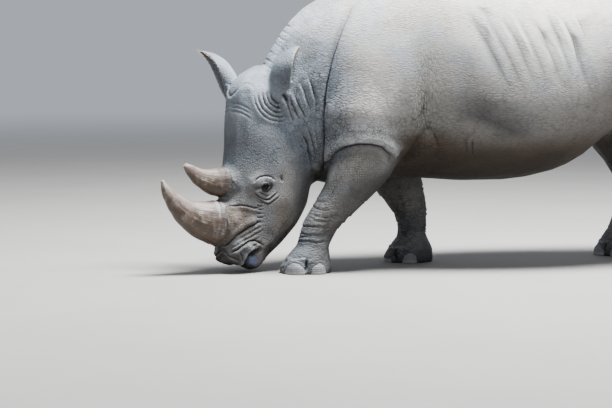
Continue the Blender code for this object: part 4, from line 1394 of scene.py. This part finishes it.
@dataclass(frozen=True)
class EarFringe:
    """Short stiff hairs round the rim of an ear, longest at its tip."""

    ear: EarShape
    count: int = 230
    thickness: float = 0.0007

    def build(self, maker: BristleTree, finish: bpy.types.Material) -> bpy.types.Object:
        """The fringe."""
        start, end, face, across = (np.array(v) for v in self.ear.directions())
        along = (end - start) / np.linalg.norm(end - start)
        rows = spline(self.ear.shell, 30)
        rng = np.random.default_rng(23)
        share = 0.38 + 0.60 * rng.random(self.count) ** 0.7
        side = np.where(rng.random(self.count) < 0.5, -1, 1)
        radius, half_angle, wall = (np.interp(share, rows[:, 0], rows[:, k]) for k in (1, 2, 3))
        angle = np.radians(half_angle - 6 * rng.random(self.count)) * side
        middle = start + np.outer(share, end - start)
        middle -= np.outer(self.ear.bend * np.sin(math.pi * share), face)
        out = -np.outer(np.cos(angle), face) + np.outer(np.sin(angle), across)
        roots = middle + out * (radius - wall * rng.uniform(0.3, 0.7, self.count))[:, None]
        edge = np.outer(np.abs(np.sin(angle)), face) + np.outer(np.cos(angle) * side, across)
        ways = edge * 0.55 + along * (0.45 + share)[:, None] + rng.normal(0, 0.13, roots.shape)
        length = (0.010 + 0.026 * smooth(share, 0.55, 1.0)) * rng.uniform(0.6, 1.15, self.count)
        ways = to_length(ways, length)
        sheet = 0.40 if self.ear.name.endswith("left") else 0.70
        places = np.stack([sheet + 0.12 + 0.10 * side * share, 0.1 + 0.8 * share], axis=1)
        return maker.grow(self.ear.name + "_fringe", roots - ways * 0.12, ways, places,
                          self.thickness, 2.5, finish)


# ---------------------------------------------------------------- the hide


@dataclass(frozen=True)
class Lids:
    """The lids of one eye, round an almond opening that tilts up behind.

    The opening's half length, its rise and its drop are arcs on the ball. The dark skin
    round it, with the lids' painted shade, is an oval, a little nearer the ear and lower
    than the ball's middle.
    """

    eye: Eye
    half_length: float = 0.0335
    rise: float = 0.0208
    drop: float = 0.0178
    roundness: float = 1.7
    upper: float = 0.0052
    lower: float = 0.0040
    sink: float = 0.018
    reach: float = 0.075
    dark_length: float = 0.041
    dark_rise: float = 0.0275
    dark_at: tuple[float, float] = (0.008, -0.002)
    tilt: float = 16

    def axes(self) -> tuple[np.ndarray, np.ndarray, np.ndarray]:
        """Out of the eye, along its opening towards the ear, and up to the brow."""
        look = np.array(self.eye.look())
        tilt = math.radians(self.tilt)
        along = np.array(way_of((-math.sin(tilt), -math.cos(tilt), 0), self.eye.sign, True))
        along -= look * (along @ look)
        along /= np.linalg.norm(along)
        up = np.cross(look, along) * -self.eye.sign
        if up[2] < 0:
            up = -up
        return look, along, up

    def edge_gap(self, u: np.ndarray, w: np.ndarray) -> np.ndarray:
        """Distance outside the opening's edge of places on the ball, below 0 inside it."""
        high = np.where(w > 0, self.rise, self.drop)
        power = self.roundness
        share = (np.abs(u / self.half_length) ** power + np.abs(w / high) ** power) ** (1 / power)
        reach = np.hypot(u, w)
        return reach - reach / np.maximum(share, 1e-6)

    def darken(self, worker: Sculptor) -> None:
        """Paints the dark skin and the lids' shade round the ball, and clears the highlight."""
        look, along, up = self.axes()
        away = worker.points - np.array(self.eye.centre())
        near = np.nonzero((np.linalg.norm(away, axis=1) < self.reach) & (away @ look > -0.025))[0]
        back, high = self.dark_at
        share = (np.abs((away[near] @ along - back) / self.dark_length) ** 1.8
                 + np.abs((away[near] @ up - high) / self.dark_rise) ** 1.8)
        # Painted shade: the dark skin round the eye, darkened further as the lids' shade.
        worker.crease[near] = np.maximum(worker.crease[near], smooth(share, 1.4, 0.7))
        worker.pale[near] *= smooth(share, 0.9, 1.6)

    def work(self, worker: Sculptor) -> None:
        """Draws the hide close round the ball and opens it."""
        look, along, up = self.axes()
        radius = self.eye.radius
        away = worker.points - np.array(self.eye.centre())
        reach = np.linalg.norm(away, axis=1)
        near = np.nonzero((reach < self.reach) & (away @ look > 0.004))[0]
        way = away[near] / reach[near, None]
        front = way @ look
        u = radius * np.arctan2(way @ along, front)
        w = radius * np.arctan2(way @ up, front)
        gap = self.edge_gap(u, w)
        lid = np.where(w > 0, self.upper, self.lower)
        profile = np.interp(gap, [-0.0012, 0.0006, 0.0045, 0.010, 0.022],
                            [-0.30, 0.25, 0.95, 1.0, 0.75])
        wanted = radius + profile * np.where(profile < 0, self.sink, lid)
        hold = smooth(gap, 0.015, 0.006)
        worker.points[near] += way * ((wanted - reach[near]) * hold)[:, None]

    def lashes(self, maker: BristleTree, finish: bpy.types.Material) -> bpy.types.Object:
        """A row of short lashes on the upper lid."""
        look, along, up = self.axes()
        rng = np.random.default_rng(5)
        roots, ways, places = [], [], []
        for share in np.linspace(-0.85, 0.85, 46):
            u = self.half_length * share
            power = self.roundness
            w = self.rise * (1 - abs(share) ** power) ** (1 / power) + 0.0016
            a, b = u / self.eye.radius, w / self.eye.radius
            way = look + along * math.tan(a) + up * math.tan(b)
            way /= np.linalg.norm(way)
            roots.append(np.array(self.eye.centre()) + way * (self.eye.radius + 0.0022))
            lean = look * 0.9 + up * (0.15 + 0.2 * rng.random()) + along * (share * 0.5)
            ways.append(lean / np.linalg.norm(lean) * rng.uniform(0.008, 0.013))
            places.append((0.88 + 0.04 * share, 0.25 if self.eye.sign > 0 else 0.75))
        return maker.grow(self.eye.node + "_lashes", np.array(roots), np.array(ways),
                          np.array(places), 0.00035, 4.0, finish)


NAILS = tuple(Nail(leg, toe) for leg in LEGS for toe in TOES)
EYES = (Eye("eye_left", 1), Eye("eye_right", -1))
LIDS = tuple(Lids(eye) for eye in EYES)


@dataclass(frozen=True)
class Hide:
    """The one skin over all the flesh."""

    grain: float = 0.0055
    most_triangles: int = 190000
    face_share: float = 0.22

    def base(self) -> bpy.types.Object:
        """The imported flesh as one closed, rounded surface."""
        solids = [copy_of(name) for name in FLESH if not name.startswith("ear")]
        solids += [copy_of("eye_left"), copy_of("eye_right")]
        solids += [horn.plug() for horn in HORNS] + [nail.plug() for nail in NAILS]
        solids += [ear.solid() for ear in EARS]
        obj = joined(solids, "hide")
        applied(obj, "REMESH", mode="VOXEL", voxel_size=self.grain)
        log.info("hide: %d corners before rounding", len(obj.data.vertices))
        points = points_of(obj.data)
        ears = np.maximum(*(ear.nearness(points) for ear in EARS))
        relaxed(obj, 14, 1 - 0.85 * ears)
        points = points_of(obj.data)
        places = HEAD.places_of(points)
        body = smooth(points[:, 0], -0.98, -0.80) * smooth(points[:, 2], 0.10, 0.30)
        tail = smooth(points[:, 0], 1.66, 1.60) + smooth(points[:, 2], 1.22, 1.30)
        cheek = smooth(places[:, 0], -0.1, 0.2) * smooth(places[:, 0], 0.9, 0.7)
        # The trunk and upper legs need the most rounding, and the tail the least.
        relaxed(obj, 70, body * np.clip(tail, 0.05, 1) * (1 - ears))
        relaxed(obj, 16, np.maximum(cheek, 0.4) * (1 - body) * (1 - ears))
        return obj

    def thinned(self, obj: bpy.types.Object) -> bpy.types.Object:
        """Fewer triangles, most of them left on the head."""
        points = points_of(obj.data)
        head = smooth(points[:, 0], -0.80, -1.00)
        feet = smooth(points[:, 2], 0.30, 0.15)
        weight = 1 - (1 - self.face_share) * np.maximum(head, 0.5 * feet)
        ratio = self.most_triangles / (2 * len(obj.data.polygons))
        return weighted(obj, "DECIMATE", weight, 10, ratio=ratio,
                        use_collapse_triangulate=True, vertex_group_factor=1.0)

    def near_folds(self, points: np.ndarray) -> np.ndarray:
        """Whether each point lies close to a fold of the head or to an eye."""
        rows = [spline(side_points(fold.line, sign, True), 8)
                for fold in HEAD_FOLDS for sign in fold.side.signs()]
        rows = np.vstack(rows)
        tree = search_tree(rows)
        close = np.zeros(len(points), bool)
        inside = within(points, rows.min(axis=0) - 0.05, rows.max(axis=0) + 0.05)
        close[inside] = [tree.find(points[i])[2] < 0.024 for i in inside]
        return close | self.near_eyes(points, 0.055)

    @staticmethod
    def near_eyes(points: np.ndarray, reach: float) -> np.ndarray:
        """Whether each point lies within reach of an eye's middle."""
        gaps = [np.linalg.norm(points - np.array(eye.centre()), axis=1) for eye in EYES]
        return np.minimum(*gaps) < reach

    @staticmethod
    def refined(obj: bpy.types.Object, near: np.ndarray) -> None:
        """Splits the edges whose ends are both near."""
        shape = bmesh.new()
        shape.from_mesh(obj.data)
        edges = [e for e in shape.edges if near[e.verts[0].index] and near[e.verts[1].index]]
        bmesh.ops.subdivide_edges(shape, edges=edges, cuts=1, use_grid_fill=True)
        shape.to_mesh(obj.data)
        shape.free()

    def welted(self, worker: Sculptor) -> None:
        """Raises a lip of skin where a horn or nail comes out, and paints shade in the seam."""
        pieces = [(horn.node, 0.006, 0.010) for horn in HORNS]
        pieces += [(nail.node, 0.0035, 0.007) for nail in NAILS]
        for node, height, breadth in pieces:
            low, high = (np.array(corner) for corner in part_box(node))
            near = within(worker.points, low - 0.03, high + 0.03)
            solid = copy_of(node)
            gap = reach_of(worker.points[near], solid)
            bpy.data.objects.remove(solid)
            lip = spot((gap, 0.3 * breadth, breadth)) * smooth(gap, -0.003, 0.002)
            worker.points[near] += worker.normals[near] * (height * lip)[:, None]
            # Painted shade in the seam where the hide meets the horn or nail.
            edge = smooth(np.abs(gap), 0.0045, 0.001)
            dark = 0.3 if "nail" in node else 0.7
            worker.crease[near] = np.maximum(worker.crease[near], edge * dark)

    def build(self) -> bpy.types.Object:
        """The finished surface, with its marks for the finish."""
        obj = self.base()
        self.refined(obj, self.near_folds(points_of(obj.data)))
        self.refined(obj, self.near_eyes(points_of(obj.data), 0.045))
        near = self.near_folds(points_of(obj.data))
        relaxed(obj, 3, near.astype(float))
        worker = Sculptor(obj)
        worker.swell(BODY_SWELLS + HEAD_SWELLS)
        worker.write()
        worker.fold(BODY_FOLDS + toe_folds() + shin_folds(worker.points))
        worker.write()
        worker.fold(HEAD_FOLDS)
        worker.write()
        self.welted(worker)
        for lids in LIDS:
            lids.darken(worker)
            lids.work(worker)
        # Painted shade in the mouth's gap, added to the creases' painted shade.
        worker.crease = np.maximum(worker.crease, self.gape(worker.points))
        worker.points[:, 2] = np.maximum(worker.points[:, 2], 0)
        worker.write()
        # Painted shade of the creases, seams, lids and mouth; painted highlight of the rolls.
        mark(obj.data, "crease", worker.crease)
        mark(obj.data, "pale", worker.pale)
        self.thinned(obj)
        points = points_of(obj.data)
        points[:, 2] = np.maximum(points[:, 2], 0)
        set_points(obj.data, points)
        HideMarks(obj.data).write()
        obj.data.name = "hide"
        return obj

    @staticmethod
    def gape(points: np.ndarray) -> np.ndarray:
        """How much painted shade lies on each point in the gap between the lips."""
        share, forward, left = HEAD.places_of(points).T
        dark = spot((share, 0.952, 0.014), (forward, 0.034, 0.028))
        return dark * smooth(np.abs(left), 0.05, 0.09)


class HideMarks:
    """Where on the animal each point of the hide lies, and the marks its finish reads."""

    # The neck crease's x by height, and the boss's lower edge by share of the head.
    CREASE = ([0.5, 0.8, 1.0, 1.36, 1.5], [-0.84, -0.87, -0.865, -0.76, -0.68])
    BOSS = ([0.70, 0.715, 0.755, 0.80, 0.83, 0.87, 0.92],
            [0.16, 0.02, 0.0, 0.05, 0.085, 0.14, 0.18])
    # Painted light and shade by the upward part of the normal.
    PAINTED_LIGHT_BY_RISE = ([-1, -0.4, 0, 0.35, 0.72, 0.82, 1], [0.30, 0.42, 0.56, 0.84, 1.05, 0.90, 0.55])
    # Small dark stains on the neck and shoulder.
    STAINS = ((-0.70, 0.87), (-0.80, 1.43), (-0.72, 1.02))

    def __init__(self, mesh: bpy.types.Mesh) -> None:
        """Finds the places, and how far each belongs to the head, legs, neck and ears."""
        self.mesh = mesh
        self.points, self.out = points_of(mesh), normals_of(mesh)
        self.x, self.y, self.z = x, y, z = self.points.T
        self.share, self.forward, left = HEAD.places_of(self.points).T
        self.side = np.abs(left)
        neck_line = -0.06 - (self.share + 0.233) * 0.39
        head = smooth(self.forward - neck_line, -0.02, 0.03)
        head *= np.where(self.share > 0.55, smooth(self.side, 0.26, 0.21), 1) * (x < -0.8)
        legs = smooth(z, 0.66, 0.46) * (1 - head)
        self.head, self.legs = head, legs
        self.neck = smooth(x, -0.72, -0.84) * (1 - head) * (1 - legs) * smooth(y, 0.5, 0.2)
        self.by_crease = spot((x, np.interp(z, *self.CREASE) + 0.05, 0.11)) * (z > 0.6)
        self.armpit = spot((x, -0.30, 0.14), (z, 0.69, 0.09))
        self.lumps = noise(self.points, 0.12, 2)
        self.ears, self.cups = np.zeros(len(x)), np.zeros(len(x))
        for ear in EARS:
            face, near = np.array(ear.directions()[2]), ear.nearness(self.points)
            self.ears = np.maximum(self.ears, near)
            self.cups += near * smooth(self.out @ face, 0.1, 0.7)

    def cool(self) -> np.ndarray:
        """How far the hide is bluish, and not warm grey."""
        cool = 0.22 + self.head * (0.75 - 0.62 * smooth(self.share, 0.38, 0.58))
        cool += 0.38 * self.neck + 0.45 * self.by_crease + 0.30 * self.legs
        cool += 0.22 * noise(self.points, 0.33, 1) + 0.12 * self.lumps
        return cool - 0.15 * smooth(self.z, 1.3, 1.6)

    def brown_stain_and_shade(self) -> np.ndarray:
        """Mud with painted shade: browner facing down, in the left armpit, under jaw, ear cups.
        """
        # Painted shade on faces turned down, low on the body, with mud.
        brown_stain_and_shade = smooth(self.out[:, 2], 0.05, -0.75) * smooth(self.z, 0.95, 0.60)
        brown_stain_and_shade *= (1 - 0.4 * self.legs) * (1 - 0.5 * self.head)
        # Painted shade in the left armpit's recess, with mud.
        brown_stain_and_shade += 0.65 * self.armpit * (self.y < 0)
        brown_stain_and_shade += 0.15 * np.maximum(self.lumps, 0) * smooth(self.z, 1.0, 0.7)
        jaw = spot((self.share, 0.75, 0.12), (self.forward, -0.13, 0.09)) * self.head
        # Mud under the jaw; painted shade inside the ear cups.
        return brown_stain_and_shade + 0.55 * jaw + 0.25 * self.cups

    def dark(self) -> np.ndarray:
        """Dark stains: smudge on the left flank, brow, chin, small ones; ear cups' painted shade.
        """
        x, z, share, forward = self.x, self.z, self.share, self.forward
        smudge = spot((x, 0.01, 0.21), (z + 0.2 * (x - 0.01), 0.90, 0.085))
        dark = smudge ** (1 + 0.9 * noise(self.points, 0.08, 6)) * (self.y < 0)
        dark += 0.25 * np.maximum(noise(self.points, 0.20, 4) - 0.25, 0)
        brow = spot((share, 0.39, 0.13)) * smooth(forward, -0.10, 0.02)
        chin = spot((share, 0.93, 0.05), (forward, -0.085, 0.04))
        dark += (0.45 * brow + 0.9 * chin) * self.head
        dark += 0.35 * sum(spot((x, a, 0.05), (z, b, 0.03)) for a, b in self.STAINS)
        # Painted shade inside the ear cups.
        return dark + 0.35 * self.cups

    def boss(self) -> np.ndarray:
        """The bare rough skin round the front horn's foot."""
        share, forward = self.share, self.forward
        boss = smooth(forward - np.interp(share, *self.BOSS), -0.004, 0.012)
        boss *= smooth(share, 0.705, 0.72) * smooth(share, 0.95, 0.92) * self.head
        return boss * (1 - 0.5 * smooth(forward, 0.09, 0.02))

    def wet_and_painted_sheen(self) -> np.ndarray:
        """The moist skin of the lower lip, painted with a bluish sky reflection."""
        lip = spot((self.share, 0.980, 0.022), (self.forward, 0.016, 0.032))
        return lip * self.head * smooth(self.side, 0.02, 0.06)

    def pink(self) -> np.ndarray:
        """The bare skin of the chin."""
        return spot((self.share, 0.975, 0.035), (self.forward, -0.026, 0.030)) * self.head

    def coarse(self) -> np.ndarray:
        """How deeply the hide is cracked."""
        x, z, share, neck = self.x, self.z, self.share, self.neck
        coarse = 0.06 + 0.35 * smooth(z, 1.20, 0.85) + 0.1 * self.legs + 0.5 * self.armpit
        coarse += (0.15 + 0.35 * smooth(z, 1.30, 1.05)) * neck
        cheek = smooth(self.forward, 0.05, -0.08) * smooth(share, 0.6, 0.4)
        coarse += self.head * (0.25 + 0.5 * cheek)
        coarse += 0.45 * self.by_crease * smooth(z, 1.35, 0.95)
        coarse += 0.32 * smooth(x, 0.75, 1.15) + 0.15 * smooth(z, 1.25, 1.5)
        coarse += 0.6 * spot((x, -0.32, 0.07)) * smooth(z, 1.35, 1.0)
        coarse += 0.6 * spot((x, -0.60, 0.25), (z, 0.80, 0.06))
        return coarse * (1 - 0.35 * self.head * smooth(share, 0.85, 0.7))

    def lattice(self) -> np.ndarray:
        """Where the cracks make a net, on the upper legs."""
        return smooth(self.z, 0.36, 0.46) * smooth(self.z, 0.74, 0.64) * (1 - self.head)

    def scaly(self) -> np.ndarray:
        """Where the plates are round: on the head, at the neck crease and over the leg."""
        scaly = np.maximum(self.by_crease * smooth(self.z, 1.0, 0.8), self.head * 0.8)
        return np.maximum(scaly, spot((self.x, -0.60, 0.28), (self.z, 0.77, 0.07)))

    def upright(self) -> np.ndarray:
        """Where the cracks stand upright: behind the shoulder and on the neck."""
        behind = spot((self.x, -0.32, 0.09))
        behind *= smooth(self.z, 1.35, 1.15) * smooth(self.z, 0.6, 0.8)
        return np.maximum(behind, spot((self.x, -0.98, 0.06)) * self.neck)

    def tone_and_painted_light(self) -> np.ndarray:
        """Random brightness with painted light above, painted shade below and on legs and face.
        """
        x, z, share, head, neck = self.x, self.z, self.share, self.head, self.neck
        up = self.out[:, 2]
        # Painted light and shade by how far the hide faces up, with random variation.
        tone_and_painted_light = np.interp(up, *self.PAINTED_LIGHT_BY_RISE)
        tone_and_painted_light *= 1 + 0.18 * noise(self.points, 0.18, 21) + 0.12 * noise(self.points, 0.06, 22)
        # Painted light on the shoulder above the leg fold; a darker patch mid-flank.
        tone_and_painted_light *= 1 + 0.65 * spot((x, -0.56, 0.15)) * smooth(z, 0.72, 0.86)
        tone_and_painted_light *= 1 - 0.26 * spot((x, 0.02, 0.26), (z, 1.08, 0.20))
        # Painted shade on the lower body, on the legs and below the leg folds.
        tone_and_painted_light *= 1 - 0.38 * smooth(z, 1.0, 0.75) * (1 - head) * (1 - self.legs)
        tone_and_painted_light *= 1 - 0.64 * self.legs
        tone_and_painted_light *= 1 - 0.42 * smooth(z, 0.70, 0.66) * smooth(z, 0.36, 0.50) * (1 - head)
        # Painted shade on the face and the top of the head; painted light on cheek and chin.
        tone_and_painted_light *= 1 - head * (0.10 + 0.38 * smooth(share, 0.20, 0.45)
                            + 0.15 * smooth(share, 0.82, 0.92))
        cheek = smooth(self.forward, -0.03, -0.13) * smooth(share, 0.86, 0.72)
        tone_and_painted_light *= 1 + head * (0.40 * cheek - 0.34 * smooth(up, 0.35, 0.70)) + 1.4 * self.pink()
        tone_and_painted_light *= (1 - 0.30 * neck * smooth(z, 0.95, 1.15)) * (1 + 0.15 * neck)
        tone_and_painted_light *= 1 - 0.2 * self.ears
        # Painted light on the sides of the near ear that face back.
        lit = 1.1 * smooth(self.out[:, 0], 0.15, 0.65) - 0.15
        return tone_and_painted_light * (1 + self.ears * (self.y < 0) * lit)

    def hollow(self) -> np.ndarray:
        """How hollow the surface is: above 0 in a groove, below 0 on a ridge."""
        points, out, total = self.points, self.out, len(self.points)
        ends = np.empty(len(self.mesh.edges) * 2, np.int32)
        self.mesh.edges.foreach_get("vertices", ends)
        a, b = ends.reshape(-1, 2).T
        count = np.bincount(np.concatenate([a, b]), minlength=total)
        size = np.linalg.norm(points[a] - points[b], axis=1)
        across = (points[b] - points[a]) / size[:, None]
        bend = np.bincount(a, (across * out[a]).sum(axis=1), total)
        bend -= np.bincount(b, (across * out[b]).sum(axis=1), total)
        bend /= count
        for _ in range(2):
            around = np.bincount(a, bend[b], total) + np.bincount(b, bend[a], total)
            bend = 0.5 * bend + 0.5 * around / count
        return bend

    def write(self) -> None:
        """Keeps each mark at the vertices, under its own name."""
        for made in (self.cool, self.brown_stain_and_shade, self.dark, self.boss, self.lattice, self.scaly,
                     self.upright, self.tone_and_painted_light, self.wet_and_painted_sheen, self.pink, self.coarse, self.hollow):
            mark(self.mesh, made.__name__, np.clip(made(), -1, 1))


@dataclass(frozen=True)
class HideFinish:
    """Thick dry hide: plates with painted shade in the cracks, wrinkled across the legs and neck.
    """

    warm: Point = (0.43, 0.41, 0.38)
    cool: Point = (0.29, 0.335, 0.39)
    # Mud, and painted shade under the body and in recesses.
    brown_stain_and_shade: Point = (0.165, 0.108, 0.064)
    dark: Point = (0.095, 0.099, 0.107)
    boss: Point = (0.29, 0.23, 0.185)
    boss_shade: Point = (0.20, 0.155, 0.125)
    # Painted highlight on the ridges.
    painted_ridge_highlight: Point = (0.55, 0.52, 0.47)
    # Bluish painted reflection of the sky on the moist lip.
    wet_and_painted_sheen: Point = (0.105, 0.15, 0.28)
    pink: Point = (0.34, 0.28, 0.26)
    painted_roll_highlight: Point = (0.40, 0.42, 0.44)

    def relief(self, tree: Surface) -> tuple[Value, Value]:
        """Height of the hide's plates, and how far each place lies down in a crack."""
        at = tree.place()
        coarse = tree.attribute("coarse")
        shaken = tree.shaken(at, 0.06, 0.024)
        wrinkles = tree.cracks(tree.stretched(shaken, (0.38, 0.38, 1.20)), 0.016, 0.24)
        scales = tree.cracks(shaken, 0.0145, 0.22)
        lattice = tree.cracks(tree.shaken(at, 0.09, 0.010), 0.0135, 0.24, 0.35)
        upright = tree.cracks(tree.stretched(shaken, (1.35, 1.35, 0.42)), 0.021, 0.24)
        large = tree.cracks(shaken, 0.036, 0.12)
        plates = tree.between(tree.attribute("scaly"), wrinkles, scales)
        plates = tree.between(tree.attribute("lattice"), plates, lattice)
        plates = tree.between(tree.attribute("upright"), plates, upright)
        worn = tree.clouds(at, 0.075, 3).eased(0.35, 0.65, 0.35, 1)
        fine = tree.clouds(at, 0.005, 3)
        strength = (coarse * 0.88 + 0.12) * worn
        height = plates * strength * 0.75 + large * coarse * 0.35 + fine * 0.20
        # How far down in a crack each place lies; the finish paints it as shade.
        sunk = (1 - plates) * strength * 0.85 + (1 - large) * coarse * 0.35
        return height, sunk

    def material(self) -> bpy.types.Material:
        """The hide's material."""
        tree = Surface("hide")
        at = tree.place()
        height, sunk = self.relief(tree)
        crease, hollow = tree.attribute("crease"), tree.attribute("hollow")
        patches = tree.clouds(at, 0.16, 5)
        blotches = tree.clouds(at, 0.035, 4)
        cool = (tree.attribute("cool") + (patches - 0.5) * 1.3 + (blotches - 0.5) * 0.6)
        colour = tree.mix(cool.eased(0.05, 0.95), self.warm, self.cool)
        colour = tree.mix((tree.attribute("brown_stain_and_shade") + (blotches - 0.5) * 0.3).eased(0.15, 0.95),
                          colour, self.brown_stain_and_shade)
        colour = tree.mix((tree.attribute("dark") + (blotches - 0.5) * 0.25).eased(0.1, 0.9),
                          colour, self.dark)
        grains = tree.clouds(tree.stretched(at, (1, 1, 0.3)), 0.006, 3)
        boss = tree.mix(grains.eased(0.3, 0.7), self.boss_shade, self.boss)
        colour = tree.mix(tree.attribute("boss") * 0.9, colour, boss)
        streaks = tree.clouds(tree.stretched(at, (1, 1, 0.25)), 0.008, 2)
        colour = tree.mix(tree.attribute("pink") * streaks.eased(0.3, 0.6), colour, self.pink)
        wet_and_painted_sheen = tree.attribute("wet_and_painted_sheen")
        # Painted highlight on the ridges, by how far the surface bulges.
        ridge = (hollow * -1).eased(0.02, 0.22)
        colour = tree.mix(ridge * 0.5, colour, self.painted_ridge_highlight)
        # Painted light and shade, with random variation, from the vertex marks.
        colour = tree.shaded(colour, tree.attribute("tone_and_painted_light"))
        # Painted sky reflection on the moist lower lip, in streaks.
        colour = tree.mix(wet_and_painted_sheen * streaks.eased(0.34, 0.56, 0.35, 1), colour, self.wet_and_painted_sheen)
        # Painted highlight on the rolls of the folds.
        colour = tree.mix(tree.attribute("pale") * (blotches * 0.6 + 0.35), colour, self.painted_roll_highlight)
        # Painted shade in the creases, seams, grooves and cracks, with random blotches.
        shade = (1 - crease.eased(0.2, 1.0) * 0.85) * (1 - hollow.eased(0.02, 0.30) * 0.5)
        shade = shade * (1 - sunk * 0.72) * (blotches * 0.55 + 0.74)
        colour = tree.shaded(colour, shade)
        roughness = 0.78 - wet_and_painted_sheen * 0.36 + (blotches - 0.5) * 0.12
        return tree.finish(Base_Color=colour, Roughness=roughness,
                           Specular_IOR_Level=0.32, Normal=tree.bump(height, 0.0048))


@dataclass(frozen=True)
class View:
    """The camera: where it stands, the way it looks, and its lens."""

    place: Point = (-3.63, -10.94, 1.25)
    azimuth: float = 14
    pitch: float = 4.5
    lens: float = 116.5

    def build(self) -> bpy.types.Object:
        """The scene's camera."""
        camera = linked("camera", bpy.data.cameras.new("camera"))
        camera.data.lens = self.lens
        camera.data.sensor_width = 36
        camera.data.clip_end = 200
        camera.location = self.place
        camera.rotation_euler = (math.radians(90 - self.pitch), 0, -math.radians(self.azimuth))
        bpy.context.scene.camera = camera
        return camera


@dataclass(frozen=True)
class Lamp:
    """A soft light: where it hangs, what it points to, its size and power."""

    name: str
    place: Point
    aim: Point
    size: float
    power: float
    colour: Point = (1, 1, 1)

    def build(self) -> bpy.types.Object:
        """The light."""
        light = bpy.data.lights.new(self.name, "AREA")
        light.size = self.size
        light.energy = self.power
        light.color = self.colour
        obj = linked(self.name, light)
        obj.location = self.place
        away = Vector(self.aim) - Vector(self.place)
        obj.rotation_euler = away.to_track_quat("-Z", "Y").to_euler()
        return obj


@dataclass(frozen=True)
class Studio:
    """Plain pale floor, soft lights and an even sky."""

    floor_size: float = 90
    floor_grey: Point = (0.25, 0.24, 0.23)
    clear: tuple[float, float] = (7, 30)
    sky: Point = (0.82, 0.88, 0.97)
    sky_strength: float = 0.55
    lamps: tuple[Lamp, ...] = (
        Lamp("key", (0.8, -0.7, 7.6), (0, 0, 0.9), 2.6, 4600, (0.98, 0.99, 1)),
        Lamp("fill", (-7.0, -6.0, 3.5), (-0.5, 0, 0.8), 4.0, 60),
        Lamp("back", (3.5, 5.5, 5.0), (0, 0, 1.0), 4.0, 90),
    )

    def build(self) -> None:
        """Floor, lights and sky."""
        half = self.floor_size / 2
        floor = new_object("floor", np.array([(-half, -half, 0), (half, -half, 0),
                                              (half, half, 0), (-half, half, 0)]),
                           [(0, 1, 2, 3)])
        tree = Surface("floor")
        away = tree.node("ShaderNodeVectorMath", {"operation": "LENGTH"},
                         {0: tree.place()}, "Value")
        grain = tree.clouds(tree.place(), 0.9, 5)
        colour = tree.mix(grain.eased(0.3, 0.7), self.floor_grey,
                          tuple(c * 0.94 for c in self.floor_grey))
        near, far = self.clear
        floor.data.materials.append(tree.finish(Base_Color=colour, Roughness=0.9,
                                                Alpha=away.eased(near, far, 1, 0)))
        for lamp in self.lamps:
            lamp.build()
        world = bpy.data.worlds.new("sky")
        world.use_nodes = True
        back = world.node_tree.nodes["Background"]
        back.inputs["Color"].default_value = (*self.sky, 1)
        back.inputs["Strength"].default_value = self.sky_strength
        bpy.context.scene.world = world


def main() -> None:
    """Makes the whole animal and its studio."""
    logging.basicConfig(level=logging.INFO, format="%(name)s: %(message)s")
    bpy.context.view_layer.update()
    View().build()
    Studio().build()
    hide = Hide().build()
    dressed(hide, HideFinish().material())
    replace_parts(hide, *FLESH)
    horn_finish, nail_finish = HornFinish().material(), NailFinish().material()
    eye_finish = EyeFinish().material()
    for horn in HORNS:
        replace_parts(dressed(horn.build(hide), horn_finish), horn.node)
    for eye in EYES:
        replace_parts(dressed(eye.build(), eye_finish), eye.node)
    for nail in NAILS:
        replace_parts(dressed(nail.build(), nail_finish), nail.node)
    maker = BristleTree(3, 4)
    dark, tan = DARK_HAIR.material(), TAN_HAIR.material()
    brush = TailTuft().build(maker, dark)
    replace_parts(dressed(brush, dark), "tail_tuft")
    for ear in EARS:
        dressed(EarFringe(ear).build(maker, tan), tan)
    for lids in LIDS:
        dressed(lids.lashes(maker, dark), dark)


if __name__ == "__main__":
    main()
